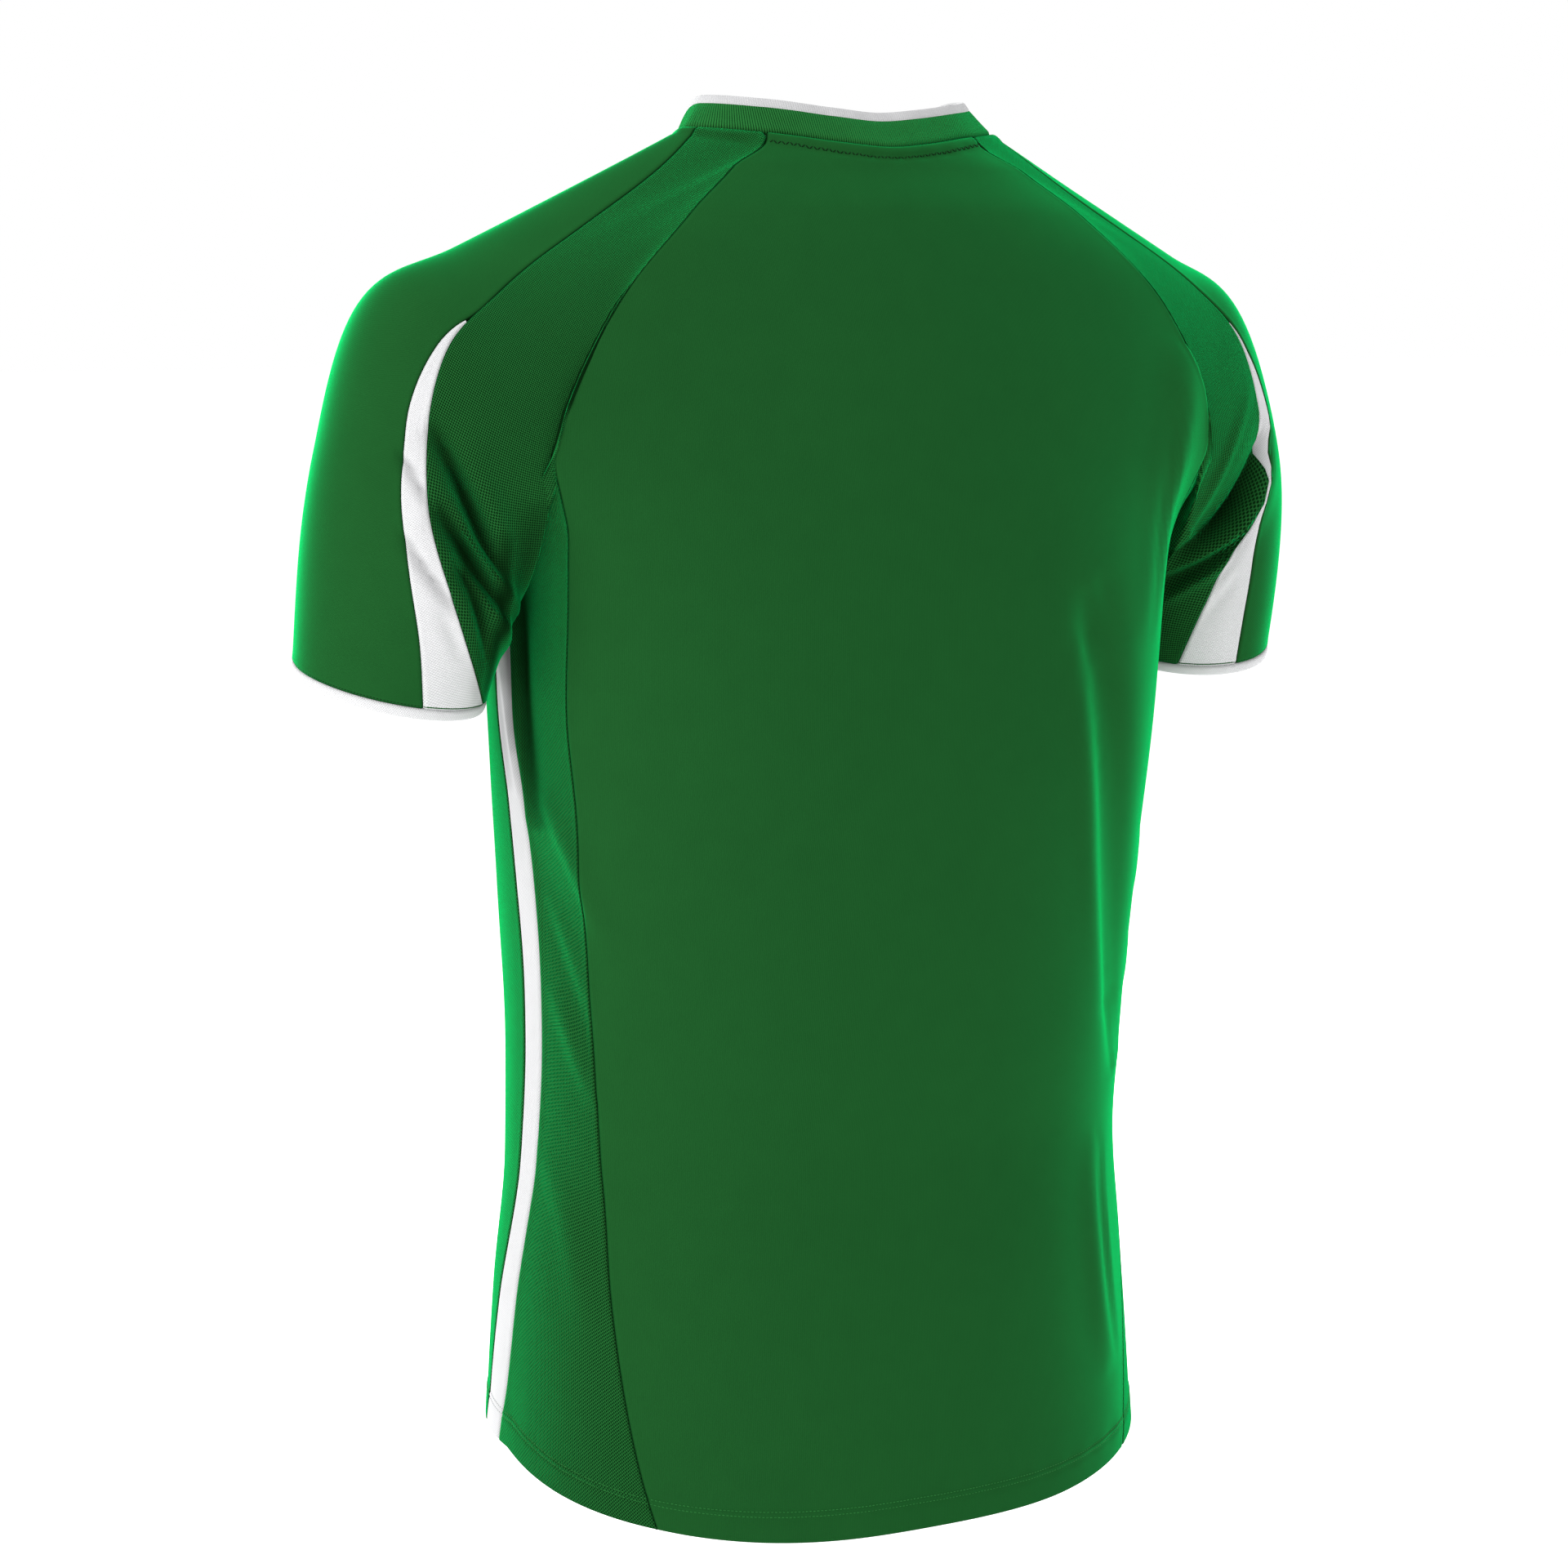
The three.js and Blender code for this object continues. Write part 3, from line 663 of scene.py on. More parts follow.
# Folds, seams and hems.
class Where(Enum):
    """The pieces whose cloth a fold lifts."""

    ALL = ""
    SLEEVE = "sleeve"

    def holds(self, name: str) -> bool:
        """Returns whether a piece of this name is one of them."""
        return name.startswith(self.value)


@dataclass(frozen=True)
class Fold:
    """A soft ridge, or a trough where its height is below zero, along a curve through the cloth.

    Seen from outside and followed from start to end, its right side has the width and its left side the far
    width.
    """

    start: tuple[float, float, float]
    over: tuple[float, float, float]
    end: tuple[float, float, float]
    width: float
    height: float
    where: Where = Where.ALL
    far_width: float | None = None

    def curve(self) -> Array:
        """Returns points along the fold, which bends towards the place that it goes over.

        Returns:
            The points, from start to end.
        """
        share = np.linspace(0, 1, FOLD_STEPS)[:, None]
        start, over, end = (np.array(place, float) for place in (self.start, self.over, self.end))
        return blend(blend(start, over, share), blend(over, end, share), share)

    def strength(self, points: Array, normals: Array) -> Array:
        """Returns from 0 to 1 how much of the fold each of the points takes.

        Args:
            points: A grid of points of the cloth.
            normals: Its normals.

        Returns:
            The shares.
        """
        curve = self.curve()
        reach = max(self.width, self.far_width or 0) * FOLD_REACH
        near = np.all((points > curve.min(0) - reach) & (points < curve.max(0) + reach), axis=-1)
        strength = np.zeros(points.shape[:-1])
        if not near.any():
            return strength
        gaps = points[near][:, None, :] - curve[None]
        nearest = np.argmin((gaps ** 2).sum(-1), axis=1)
        gap = gaps[np.arange(len(nearest)), nearest]
        side = np.einsum("ij,ij->i", np.cross(np.gradient(curve, axis=0)[nearest], normals[near]), gap)
        width = np.where(side > 0, self.width, self.far_width or self.width)
        taper = np.sin(np.pi * nearest / (len(curve) - 1)) ** FOLD_TAPER
        strength[near] = taper * np.exp(-((gap ** 2).sum(-1)) / width ** 2)
        return strength


@dataclass(frozen=True)
class Crease(Fold):
    """A sharper fold, whose curve passes through its middle place, and whose bottom is painted with shade by its dark
    share.
    """

    # How much painted shade lies in the crease's bottom, from 0 to 1.
    dark: float = 0.0

    def curve(self) -> Array:
        """Returns points along the crease.

        Returns:
            The points, from start to end.
        """
        share = np.linspace(0, 1, FOLD_STEPS)[:, None]
        start, through, end = (np.array(place, float) for place in (self.start, self.over, self.end))
        over = through * 2 - (start + end) / 2
        return blend(blend(start, over, share), blend(over, end, share), share)


FOLDS = (
    Fold((287, 36, -160), (270, 47, -208), (248, 42, -247), 10, -7, Where.SLEEVE),
    Fold((286, 42, -208), (269, 46, -239), (246, 36, -262), 9, -5, Where.SLEEVE),
    Fold((-286, 38, -174), (-262, 50, -214), (-232, 38, -244), 11, -9, Where.SLEEVE),
    Fold((-290, 38, -194), (-268, 48, -236), (-236, 28, -266), 11, 4, Where.SLEEVE),
    Fold((-203, 66, -125), (-180, 78, -205), (-164, 82, -300), 18, 5),
    Fold((-96, 109, -290), (-122, 92, -415), (-152, 66, -510), 18, 5),
    Fold((-141, 64, -590), (-136, 71, -666), (-154, 64, -735), 16, 4),
    Fold((205, -3, -385), (199, 14, -446), (184, 32, -505), 15, -3.5),
    Fold((290, -66, -185), (266, -82, -222), (240, -76, -246), 10, -6, Where.SLEEVE),
    Fold((-288, -68, -168), (-268, -82, -210), (-244, -78, -240), 11, -6, Where.SLEEVE),
    Fold((140, -118, -270), (120, -132, -390), (146, -112, -520), 20, 5),
)
# The last value of a crease is the painted shade in its bottom. Creases of height 0 lift nothing and only paint shade
# under the arm.
LEFT_SLEEVE_CREASES = (
    Crease((288, 36, -163), (268, 47, -206), (242, 40, -254), 5, -6.5, Where.SLEEVE, 3, 0.95),
    Crease((280, 42, -176), (261, 48, -206), (242, 40, -242), 5, 3, Where.SLEEVE, 8),
    Crease((288, 41, -206), (268, 46, -234), (238, 30, -272), 6.5, -9, Where.SLEEVE, 3.2, 1.0),
    Crease((279, 44, -214), (257, 44, -242), (221, 12, -272), 5, 6.5, Where.SLEEVE, 5),
    Crease((278, 42, -240), (262, 42, -260), (246, 26, -296), 4.5, -6, Where.SLEEVE, 3, 0.9),
    Crease((246, 48, -222), (244, 33, -268), (243, 6, -324), 6, 0, Where.SLEEVE, 6, 0.95),
    Crease((228, 52, -206), (231, 34, -250), (226, 4, -290), 9, 0, Where.SLEEVE, 9, 0.6),
    Crease((256, 40, -258), (253, 32, -286), (250, 16, -318), 5, 0, Where.SLEEVE, 5, 0.5),
    Crease((270, 43, -250), (250, 37, -266), (223, 4, -294), 4.5, 5.5, Where.SLEEVE, 6),
    Crease((303, 26, -177), (296, 34, -193), (288, 41, -212), 3, -2.4, Where.SLEEVE, 1.4, 0.45),
    Crease((303, 30, -221), (291, 37, -242), (273, 40, -266), 3.6, -3, Where.SLEEVE, 1.6, 0.4),
    Crease((285, 37, -262), (275, 36, -278), (266, 33, -294), 4, -1.4, Where.SLEEVE, 3),
    Crease((288, -66, -175), (264, -80, -216), (236, -66, -262), 5, -5, Where.SLEEVE, 3, 0.6),
    Crease((282, -70, -196), (258, -78, -232), (232, -58, -268), 5, 4, Where.SLEEVE, 4),
    Crease((286, -64, -222), (262, -70, -248), (234, -50, -284), 5, -5, Where.SLEEVE, 3, 0.6),
)
RIGHT_SLEEVE_CREASES = (
    Crease((-286, 39, -175), (-257, 47, -221), (-218, 22, -252), 3, -8, Where.SLEEVE, 4, 0.9),
    Crease((-286, 40, -194), (-258, 46, -233), (-222, 20, -263), 5, 5, Where.SLEEVE, 5),
    Crease((-262, 44, -240), (-240, 36, -256), (-216, 8, -274), 3.5, -5.5, Where.SLEEVE, 6, 0.6),
    Crease((-266, 44, -243), (-243, 35, -262), (-218, 6, -288), 3, 3, Where.SLEEVE, 4),
    Crease((-274, 42, -144), (-245, 50, -195), (-226, 36, -242), 5, 1.8, Where.SLEEVE, 4),
    Crease((-268, 45, -236), (-257, 42, -254), (-245, 34, -274), 2.4, -1.8, Where.SLEEVE, 4, 0.2),
    Crease((-264, 40, -262), (-256, 36, -276), (-246, 28, -293), 3, -1.2, Where.SLEEVE, 4),
    Crease((-286, -66, -172), (-262, -80, -214), (-234, -66, -260), 3, -5, Where.SLEEVE, 5, 0.6),
    Crease((-284, -70, -200), (-258, -76, -236), (-230, -56, -270), 5, 4, Where.SLEEVE, 4),
)
# Creases of height 0 here only paint shade, under the arm and down the side by the stripe.
BODY_CREASES = (
    Crease((-98, 109, -258), (-127, 88, -412), (-164, 50, -556), 13, -9.5, Where.ALL, 26),
    Crease((-190, 73, -150), (-174, 78, -225), (-165, 79, -300), 9, -2.5, Where.ALL, 5),
    Crease((-148, 60, -590), (-146, 66, -660), (-160, 56, -730), 9, -3, Where.ALL, 5),
    Crease((205, 5, -366), (194, 29, -416), (184, 38, -452), 5, 2.6, Where.ALL, 9),
    Crease((201, 4, -424), (193, 20, -463), (183, 34, -505), 5, 2.6, Where.ALL, 9),
    Crease((197, 4, -478), (190, 17, -514), (183, 28, -546), 5, 2.0, Where.ALL, 9),
    Crease((197, -13, -570), (191, 10, -620), (186, 22, -680), 8, 1.5, Where.ALL, 12),
    Crease((212, -28, -286), (209, -19, -340), (207, -15, -378), 3, 1.8, Where.ALL, 3),
    Crease((222, 14, -214), (211, -3, -306), (204, 4, -394), 7, -4.5, Where.ALL, 10, 1.0),
    Crease((216, -14, -240), (212, -14, -300), (208, -12, -352), 6, 0, Where.ALL, 6, 0.8),
    Crease((212, -34, -286), (210, -30, -324), (207, -22, -372), 8, 0, Where.ALL, 8, 0.35),
    Crease((-205, 5, -360), (-195, 28, -412), (-186, 38, -452), 9, 2.6, Where.ALL, 5),
    Crease((-200, 4, -430), (-193, 19, -468), (-185, 32, -508), 9, 2.4, Where.ALL, 5),
    Crease((-217, -2, -246), (-211, -1, -318), (-205, 5, -384), 10, -4, Where.ALL, 6, 0.9),
    Crease((-140, -118, -280), (-126, -126, -380), (-142, -114, -490), 10, 5, Where.ALL, 18),
    Crease((134, -118, -262), (116, -128, -380), (150, -106, -540), 5, -6, Where.ALL, 12),
    Crease((-150, -112, -560), (-140, -118, -640), (-156, -108, -720), 8, 4, Where.ALL, 14),
    Crease((40, -140, -600), (62, -142, -660), (58, -142, -730), 9, 3, Where.ALL, 14),
    Crease((190, -84, -196), (176, -100, -250), (168, -108, -310), 7, -3.5, Where.ALL, 11),
)
CREASES = LEFT_SLEEVE_CREASES + RIGHT_SLEEVE_CREASES + BODY_CREASES


def ripple(points: Array) -> Array:
    """Returns the slight unevenness of hanging cloth at each of the points, in waves that don't repeat.

    Args:
        points: The points.

    Returns:
        How far each is lifted, before the ripple's strength.
    """
    x, y, z = np.moveaxis(points, -1, 0)
    broad = np.sin(x / 31 + z / 83 + 1.3) * np.sin(z / 57 - y / 49) * 0.55
    fine = np.sin(x / 17 - z / 29 + y / 21) * np.sin(z / 23 + x / 37 + 0.7) * 0.22
    return broad + fine


class Edge(Enum):
    """How one edge of a piece is finished."""

    SEAM = "sewn to its neighbour"
    HEM = "turned up and sewn with two needles"
    FREE = "a plain edge"


class Rise(NamedTuple):
    """A round rise of the cloth, or a groove below zero, along a line at a distance from an edge."""

    at: float
    width: float
    height: float = 1.0

    def over(self, gap: Array) -> Array:
        """Returns its height at distances from the edge."""
        return self.height * np.exp(-(((gap - self.at) / self.width) ** 2))


SEAM_RIDGE = Rise(2.6, 1.5, 0.14)
SEAM_GROOVE = Rise(0.0, 0.75, -0.7)
# How the painted shade along a seam's line falls off from its edge.
SEAM_SHADE = Rise(0.0, 0.6)
HEM_GROOVES = (Rise(HEM_STITCH, 0.7, -0.5), Rise(HEM_STITCH - HEM_STITCH_GAP, 0.7, -0.5))
HEM_PUCKER = Rise(HEM_STITCH - HEM_STITCH_GAP / 2, 7.0, 0.28)
HEM_DOUBLING = 0.275
NECK_GROOVE = Rise(NECK_STITCH, 0.8, -0.6)
NECK_PUCKER = Rise(NECK_STITCH, 2.5, 0.25)
NECK_STRIP = 0.9
# No point lower than this is near the neckline.
NECK_LOW = -110
FAR = 1e3


@dataclass
class Cloth:
    """One piece of cloth: a grid of points on its outer face, and how its edges are finished.

    A row's direction crossed with a column's direction points out of the garment, or in where it is flipped.
    The edges are those at the first and last row, and at the first and last column. A ring's columns close on
    themselves. Its dark values, from 0 to 1, say how much painted shade it takes, in its creases and along its seams.
    """

    node: str
    grid: Array
    finish: "Finish"
    slot: str
    edges: tuple[Edge, Edge, Edge, Edge]
    rests_on: tuple[str, ...] = ()
    ring: bool = False
    flip: bool = False
    thickness: float = CLOTH_THICKNESS
    bulge: float = 0.0
    seam_dark: float = GREEN_SEAM_PAINTED_SHADE
    unwrapped: bool = False
    tucked_below: float | None = None
    neckline: Array | None = None
    outer: Array = field(init=False)
    normals: Array = field(init=False)
    down: Array = field(init=False)
    across: Array = field(init=False)
    dark: Array = field(init=False)

    def __post_init__(self) -> None:
        """Works out the outer face with its folds and seams, and the painted shade of its creases and seam lines."""
        self.down = lengths_along(self.grid, 0)
        self.across = lengths_along(self.grid, 1)
        self.normals = self.find_normals(self.grid)
        lift = ripple(self.grid) * RIPPLE
        self.dark = np.zeros(lift.shape)
        for fold in FOLDS + CREASES:
            if fold.where.holds(self.node):
                strength = fold.strength(self.grid, self.normals)
                lift += fold.height * strength
                # A crease paints shade into its bottom.
                if isinstance(fold, Crease):
                    self.dark = np.maximum(self.dark, fold.dark * strength ** PAINTED_SHADE_SPREAD)
        for number, (edge, gap) in enumerate(zip(self.edges, self.edge_gaps())):
            if edge is Edge.SEAM:
                # Painted shade along the seam's line.
                line = self.seam_dark * SEAM_SHADE.over(gap) * self.shown(self.grid, number)
                self.dark = np.maximum(self.dark, line)
        self.outer = self.grid + self.normals * (lift + self.sewing())[..., None]
        self.normals = self.find_normals(self.outer)

    def find_normals(self, points: Array) -> Array:
        """Returns unit normals of a grid of points, pointing out of the garment.

        Args:
            points: A grid with the piece's rows and columns.

        Returns:
            A normal for each point.
        """
        rows = np.gradient(points, axis=0)
        if self.ring:
            columns = (np.roll(points, -1, axis=1) - np.roll(points, 1, axis=1)) / 2
        else:
            columns = np.gradient(points, axis=1)
        normals = np.cross(rows, columns) * (-1 if self.flip else 1)
        return normals / np.maximum(np.linalg.norm(normals, axis=-1, keepdims=True), 1e-9)

    def edge_gaps(self) -> tuple[Array, Array, Array, Array]:
        """Returns each point's distance from the four edges."""
        return (self.down, self.down[-1:] - self.down, self.across, self.across[:, -1:] - self.across)

    def shown(self, points: Array, number: int) -> Array:
        """Returns from 0 to 1 how much of a seam shows, and isn't tucked under the neighbour.

        Args:
            points: A grid of points with a row for each of the piece's rows.
            number: Which of the four edges it is.

        Returns:
            A column of shares, or the single share 1 for an edge that shows all along.
        """
        if self.tucked_below is None or number != FIRST_COLUMN:
            return np.ones((1, 1))
        return np.clip((points[:, :1, 2] - self.tucked_below) / TUCK_FADE, 0, 1)

    def sewing(self) -> Array:
        """Returns how far seams, hems and the bulge of a band lift each point.

        Returns:
            The lifts, in millimetres.
        """
        lift = np.zeros(self.grid.shape[:-1])
        for number, (edge, gap) in enumerate(zip(self.edges, self.edge_gaps())):
            if edge is Edge.SEAM:
                lift += (SEAM_RIDGE.over(gap) + SEAM_GROOVE.over(gap)) * self.shown(self.grid, number)
            elif edge is Edge.HEM:
                lift += HEM_DOUBLING * (1 - np.tanh((gap - HEM_STITCH - 0.6) / 0.9))
                lift += HEM_PUCKER.over(gap) * np.sin(self.across / 5.3) * np.sin(self.across / 13.1)
                lift += sum(groove.over(gap) for groove in HEM_GROOVES)
        if self.bulge:
            share = self.down / self.down[-1:]
            lift += self.bulge * (1 - (2 * share - 1) ** 4)
        if self.neckline is not None:
            gap = self.neck_gap(self.grid)
            roll = np.sin(np.pi * np.clip(gap / NECK_STITCH, 0, 1)) ** 0.8
            lift += NECK_STRIP * np.where(gap < NECK_STITCH, roll, 0) + NECK_GROOVE.over(gap)
            lift += NECK_PUCKER.over(gap) * np.sin(self.grid[..., 0] / 2.9)
        return lift

    def neck_gap(self, points: Array) -> Array:
        """Returns the distance of each point from the neckline.

        Args:
            points: A grid of points.

        Returns:
            The distances, or a large number where a point is far below it.
        """
        flat = points.reshape(-1, 3)
        gap = np.full(len(flat), FAR)
        near = np.flatnonzero(flat[:, 2] > NECK_LOW)
        for part in np.array_split(near, max(1, len(near) // 4000)):
            if len(part):
                gaps = np.linalg.norm(flat[part][:, None] - self.neckline[None], axis=-1)
                gap[part] = gaps.min(axis=1)
        return gap.reshape(points.shape[:-1])

    def with_allowances(self, sheet: Array) -> Array:
        """Adds the narrow allowance that lies under the neighbour along each sewn edge.

        Args:
            sheet: Points, normals, map and painted shade of the grid, nine values for each point.

        Returns:
            The sheet with a row or column more at each sewn edge.
        """
        for number, edge in enumerate(self.edges):
            axis, at_end = divmod(number, 2)
            if edge is not Edge.SEAM or (self.ring and axis):
                continue
            places = (-1, -2) if at_end else (0, 1)
            last, before = (np.take(sheet, [place], axis=axis) for place in places)
            gap = np.maximum(np.linalg.norm((last - before)[..., :3], axis=-1, keepdims=True), 0.05)
            shown = self.shown(sheet, number)
            extra = last + (last - before) / gap * ALLOWANCE * shown[..., None]
            extra[..., :3] -= last[..., 3:6] * ALLOWANCE_DEPTH
            extra[..., 3:6] = last[..., 3:6]
            # The allowance under the neighbour takes painted shade, in full on green cloth.
            extra[..., PAINTED_SHADE_COLUMN] = min(1.0, self.seam_dark * 1.1) * shown
            sheet = np.concatenate([sheet, extra] if at_end else [extra, sheet], axis=axis)
        return sheet

    def area(self) -> float:
        """Returns the flat area of the piece in square metres.

        Returns:
            The area of what shows of it.
        """
        grid = np.concatenate([self.grid, self.grid[:, :1]], axis=1) if self.ring else self.grid
        first, second = np.diff(grid, axis=0)[:, :-1], np.diff(grid, axis=1)[:-1]
        return float(np.linalg.norm(np.cross(first, second), axis=-1).sum()) / METRE ** 2

    def flat_size(self) -> tuple[float, float]:
        """Returns the width and length that the piece was cut to, in metres.

        Returns:
            The width, and the length or what the area needs.
        """
        closing = np.linalg.norm(self.grid[:, 0] - self.grid[:, -1], axis=-1).max() if self.ring else 0
        width = float(self.across[:, -1].mean() + closing) / METRE
        length = float(self.down[-1].mean()) / METRE
        return width, max(length, AREA_MARGIN * self.area() / width, MIN_CUT)

    def build(self) -> bpy.types.Object:
        """Makes the piece's closed shell, with its texture map, finish and declaration.

        Returns:
            The finished object.
        """
        middle = self.across[:, self.across.shape[1] // 2][:, None]
        u = np.broadcast_to(self.across.mean(0), self.across.shape) if self.ring else self.across - middle
        values = np.stack([u, self.down, self.dark], axis=-1)
        sheet = self.with_allowances(np.concatenate([self.outer, self.normals, values], axis=-1))
        rows, columns = sheet.shape[:2]
        spans = columns if self.ring else columns - 1
        index = np.arange(rows * columns).reshape(rows, columns)
        after = np.roll(index, -1, axis=1) if self.ring else index[:, 1:]
        here = index if self.ring else index[:, :-1]
        faces = np.stack([here[:-1], here[1:], after[1:], after[:-1]], axis=-1).reshape(-1, 4)
        u, v = sheet[..., MAP_U], sheet[..., MAP_V]
        if self.ring:
            step = np.linalg.norm(self.grid[:, 0] - self.grid[:, -1], axis=-1).mean()
            u = np.concatenate([u, u[:, -1:] + step], axis=1)
            u = u * round(u[0, -1]) / u[0, -1]
            v = np.concatenate([v, v[:, :1]], axis=1)
        uv = np.stack([u, v], axis=-1) / METRE
        start, end = uv[:, :spans], uv[:, 1:spans + 1]
        corners = np.stack([start[:-1], start[1:], end[1:], end[:-1]], axis=2).reshape(-1, 4, 2)
        if self.flip:
            faces, corners = faces[:, ::-1], corners[:, ::-1]
        name = f"{self.node}_cloth"
        mesh = bpy.data.meshes.new(name)
        mesh.from_pydata((sheet[..., :3].reshape(-1, 3) / METRE).tolist(), [], faces.tolist())
        layer = mesh.uv_layers.new(name="cloth")
        layer.data.foreach_set("uv", corners.reshape(-1).astype(np.float32))
        # The dark attribute carries the painted shade of creases and seams to the material.
        dark = mesh.attributes.new("dark", "FLOAT", "POINT")
        dark.data.foreach_set("value", sheet[..., PAINTED_SHADE_COLUMN].reshape(-1).astype(np.float32))
        piece = bpy.data.objects.new(name, mesh)
        bpy.context.scene.collection.objects.link(piece)
        mesh.materials.append(self.finish.material())
        if self.unwrapped:
            unwrap(piece)
        thicken(piece, self.thickness / METRE)
        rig.replaces(piece, self.node)
        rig.slot(piece, self.slot)
        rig.ride(piece, "root")
        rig.sheet(piece, flat=self.flat_size(), held="hung", rests_on=self.rests_on, area=self.area())
        return piece

    def line(self, gap: float, edge: int = FIRST_ROW) -> tuple[Array, Array]:
        """Finds the line on the outer face at a distance from one of the edges.

        Args:
            gap: Distance from the edge.
            edge: Which of the four edges it is.

        Returns:
            Points of the line, and normals at them.
        """
        gaps = self.edge_gaps()[edge]
        points, normals = self.outer, self.normals
        if edge in (FIRST_COLUMN, LAST_COLUMN):
            gaps, points, normals = gaps.T, points.swapaxes(0, 1), normals.swapaxes(0, 1)
        if edge in (LAST_ROW, LAST_COLUMN):
            gaps, points, normals = gaps[::-1], points[::-1], normals[::-1]

        def at_gap(values: Array) -> Array:
            """Returns the values at that distance, column by column.

            Args:
                values: Three values for each point of the grid.

            Returns:
                Three values for each column.
            """
            columns = range(gaps.shape[1])
            return np.array([[np.interp(gap, gaps[:, column], values[:, column, axis]) for axis in range(3)]
                             for column in columns])

        return at_gap(points), at_gap(normals)


def select_only(piece: bpy.types.Object) -> None:
    """Makes one object the only selected one, and the active one.

    Args:
        piece: The object.
    """
    for other in bpy.context.selected_objects:
        other.select_set(False)
    piece.select_set(True)
    bpy.context.view_layer.objects.active = piece


def unwrap(piece: bpy.types.Object) -> None:
    """Flattens a sheet's map without shear, at its real size and still turned as the sheet's rows are.

    Args:
        piece: The sheet, whose map is the layer named cloth.
    """
    mesh = piece.data
    before = np.zeros(len(mesh.loops) * 2, np.float32)
    mesh.uv_layers["cloth"].data.foreach_get("uv", before)
    select_only(piece)
    bpy.ops.object.mode_set(mode="EDIT")
    bpy.ops.mesh.select_all(action="SELECT")
    bpy.ops.uv.unwrap(method="CONFORMAL", margin=0)
    bpy.ops.object.mode_set(mode="OBJECT")
    flat = np.zeros(len(mesh.loops) * 2, np.float32)
    layer = mesh.uv_layers["cloth"].data
    layer.foreach_get("uv", flat)
    before, flat = before.reshape(-1, 2), flat.reshape(-1, 2)
    before, flat = before - before.mean(0), flat - flat.mean(0)
    left, sizes, right = np.linalg.svd(flat.T @ before)
    flat = flat @ left @ right * (sizes.sum() / (flat ** 2).sum())
    layer.foreach_set("uv", flat.reshape(-1).astype(np.float32))


def thicken(piece: bpy.types.Object, thickness: float) -> None:
    """Gives a sheet its thickness inwards and smooth shading over its faces.

    Args:
        piece: The sheet.
        thickness: Its thickness, in metres.
    """
    select_only(piece)
    wall = piece.modifiers.new("wall", "SOLIDIFY")
    wall.thickness = thickness
    wall.offset = -1
    bpy.ops.object.modifier_apply(modifier=wall.name)
    bpy.ops.object.shade_smooth_by_angle(angle=math.radians(SMOOTH_ANGLE))


# Finishes.
class Wire:
    """A shader value on which Python's operators add Math nodes."""

    def __init__(self, graph: "Graph", socket: bpy.types.NodeSocket) -> None:
        """Keeps the graph and the socket that gives the value."""
        self.graph, self.socket = graph, socket

    def maths(self, operation: str, *values: "Wire | float") -> "Wire":
        """Returns the result of a Math node on this value and others."""
        return self.graph.node("ShaderNodeMath", {"operation": operation}, (self, *values))

    def __add__(self, other: "Wire | float") -> "Wire":
        """Returns the sum."""
        return self.maths("ADD", other)

    __radd__ = __add__

    def __mul__(self, other: "Wire | float") -> "Wire":
        """Returns the product."""
        return self.maths("MULTIPLY", other)

    __rmul__ = __mul__

    def __sub__(self, other: "Wire | float") -> "Wire":
        """Returns the difference."""
        return self.maths("SUBTRACT", other)

    def __rsub__(self, other: float) -> "Wire":
        """Returns a number less this value."""
        return self * -1.0 + other

    def __pow__(self, power: float) -> "Wire":
        """Returns the power."""
        return self.maths("POWER", power)

    def fade(self, low: float, high: float) -> "Wire":
        """Returns 0 below low, 1 above high, and a smooth rise between them."""
        smooth = {"interpolation_type": "SMOOTHSTEP"}
        return self.graph.node("ShaderNodeMapRange", smooth, (self, low, high, 0.0, 1.0))


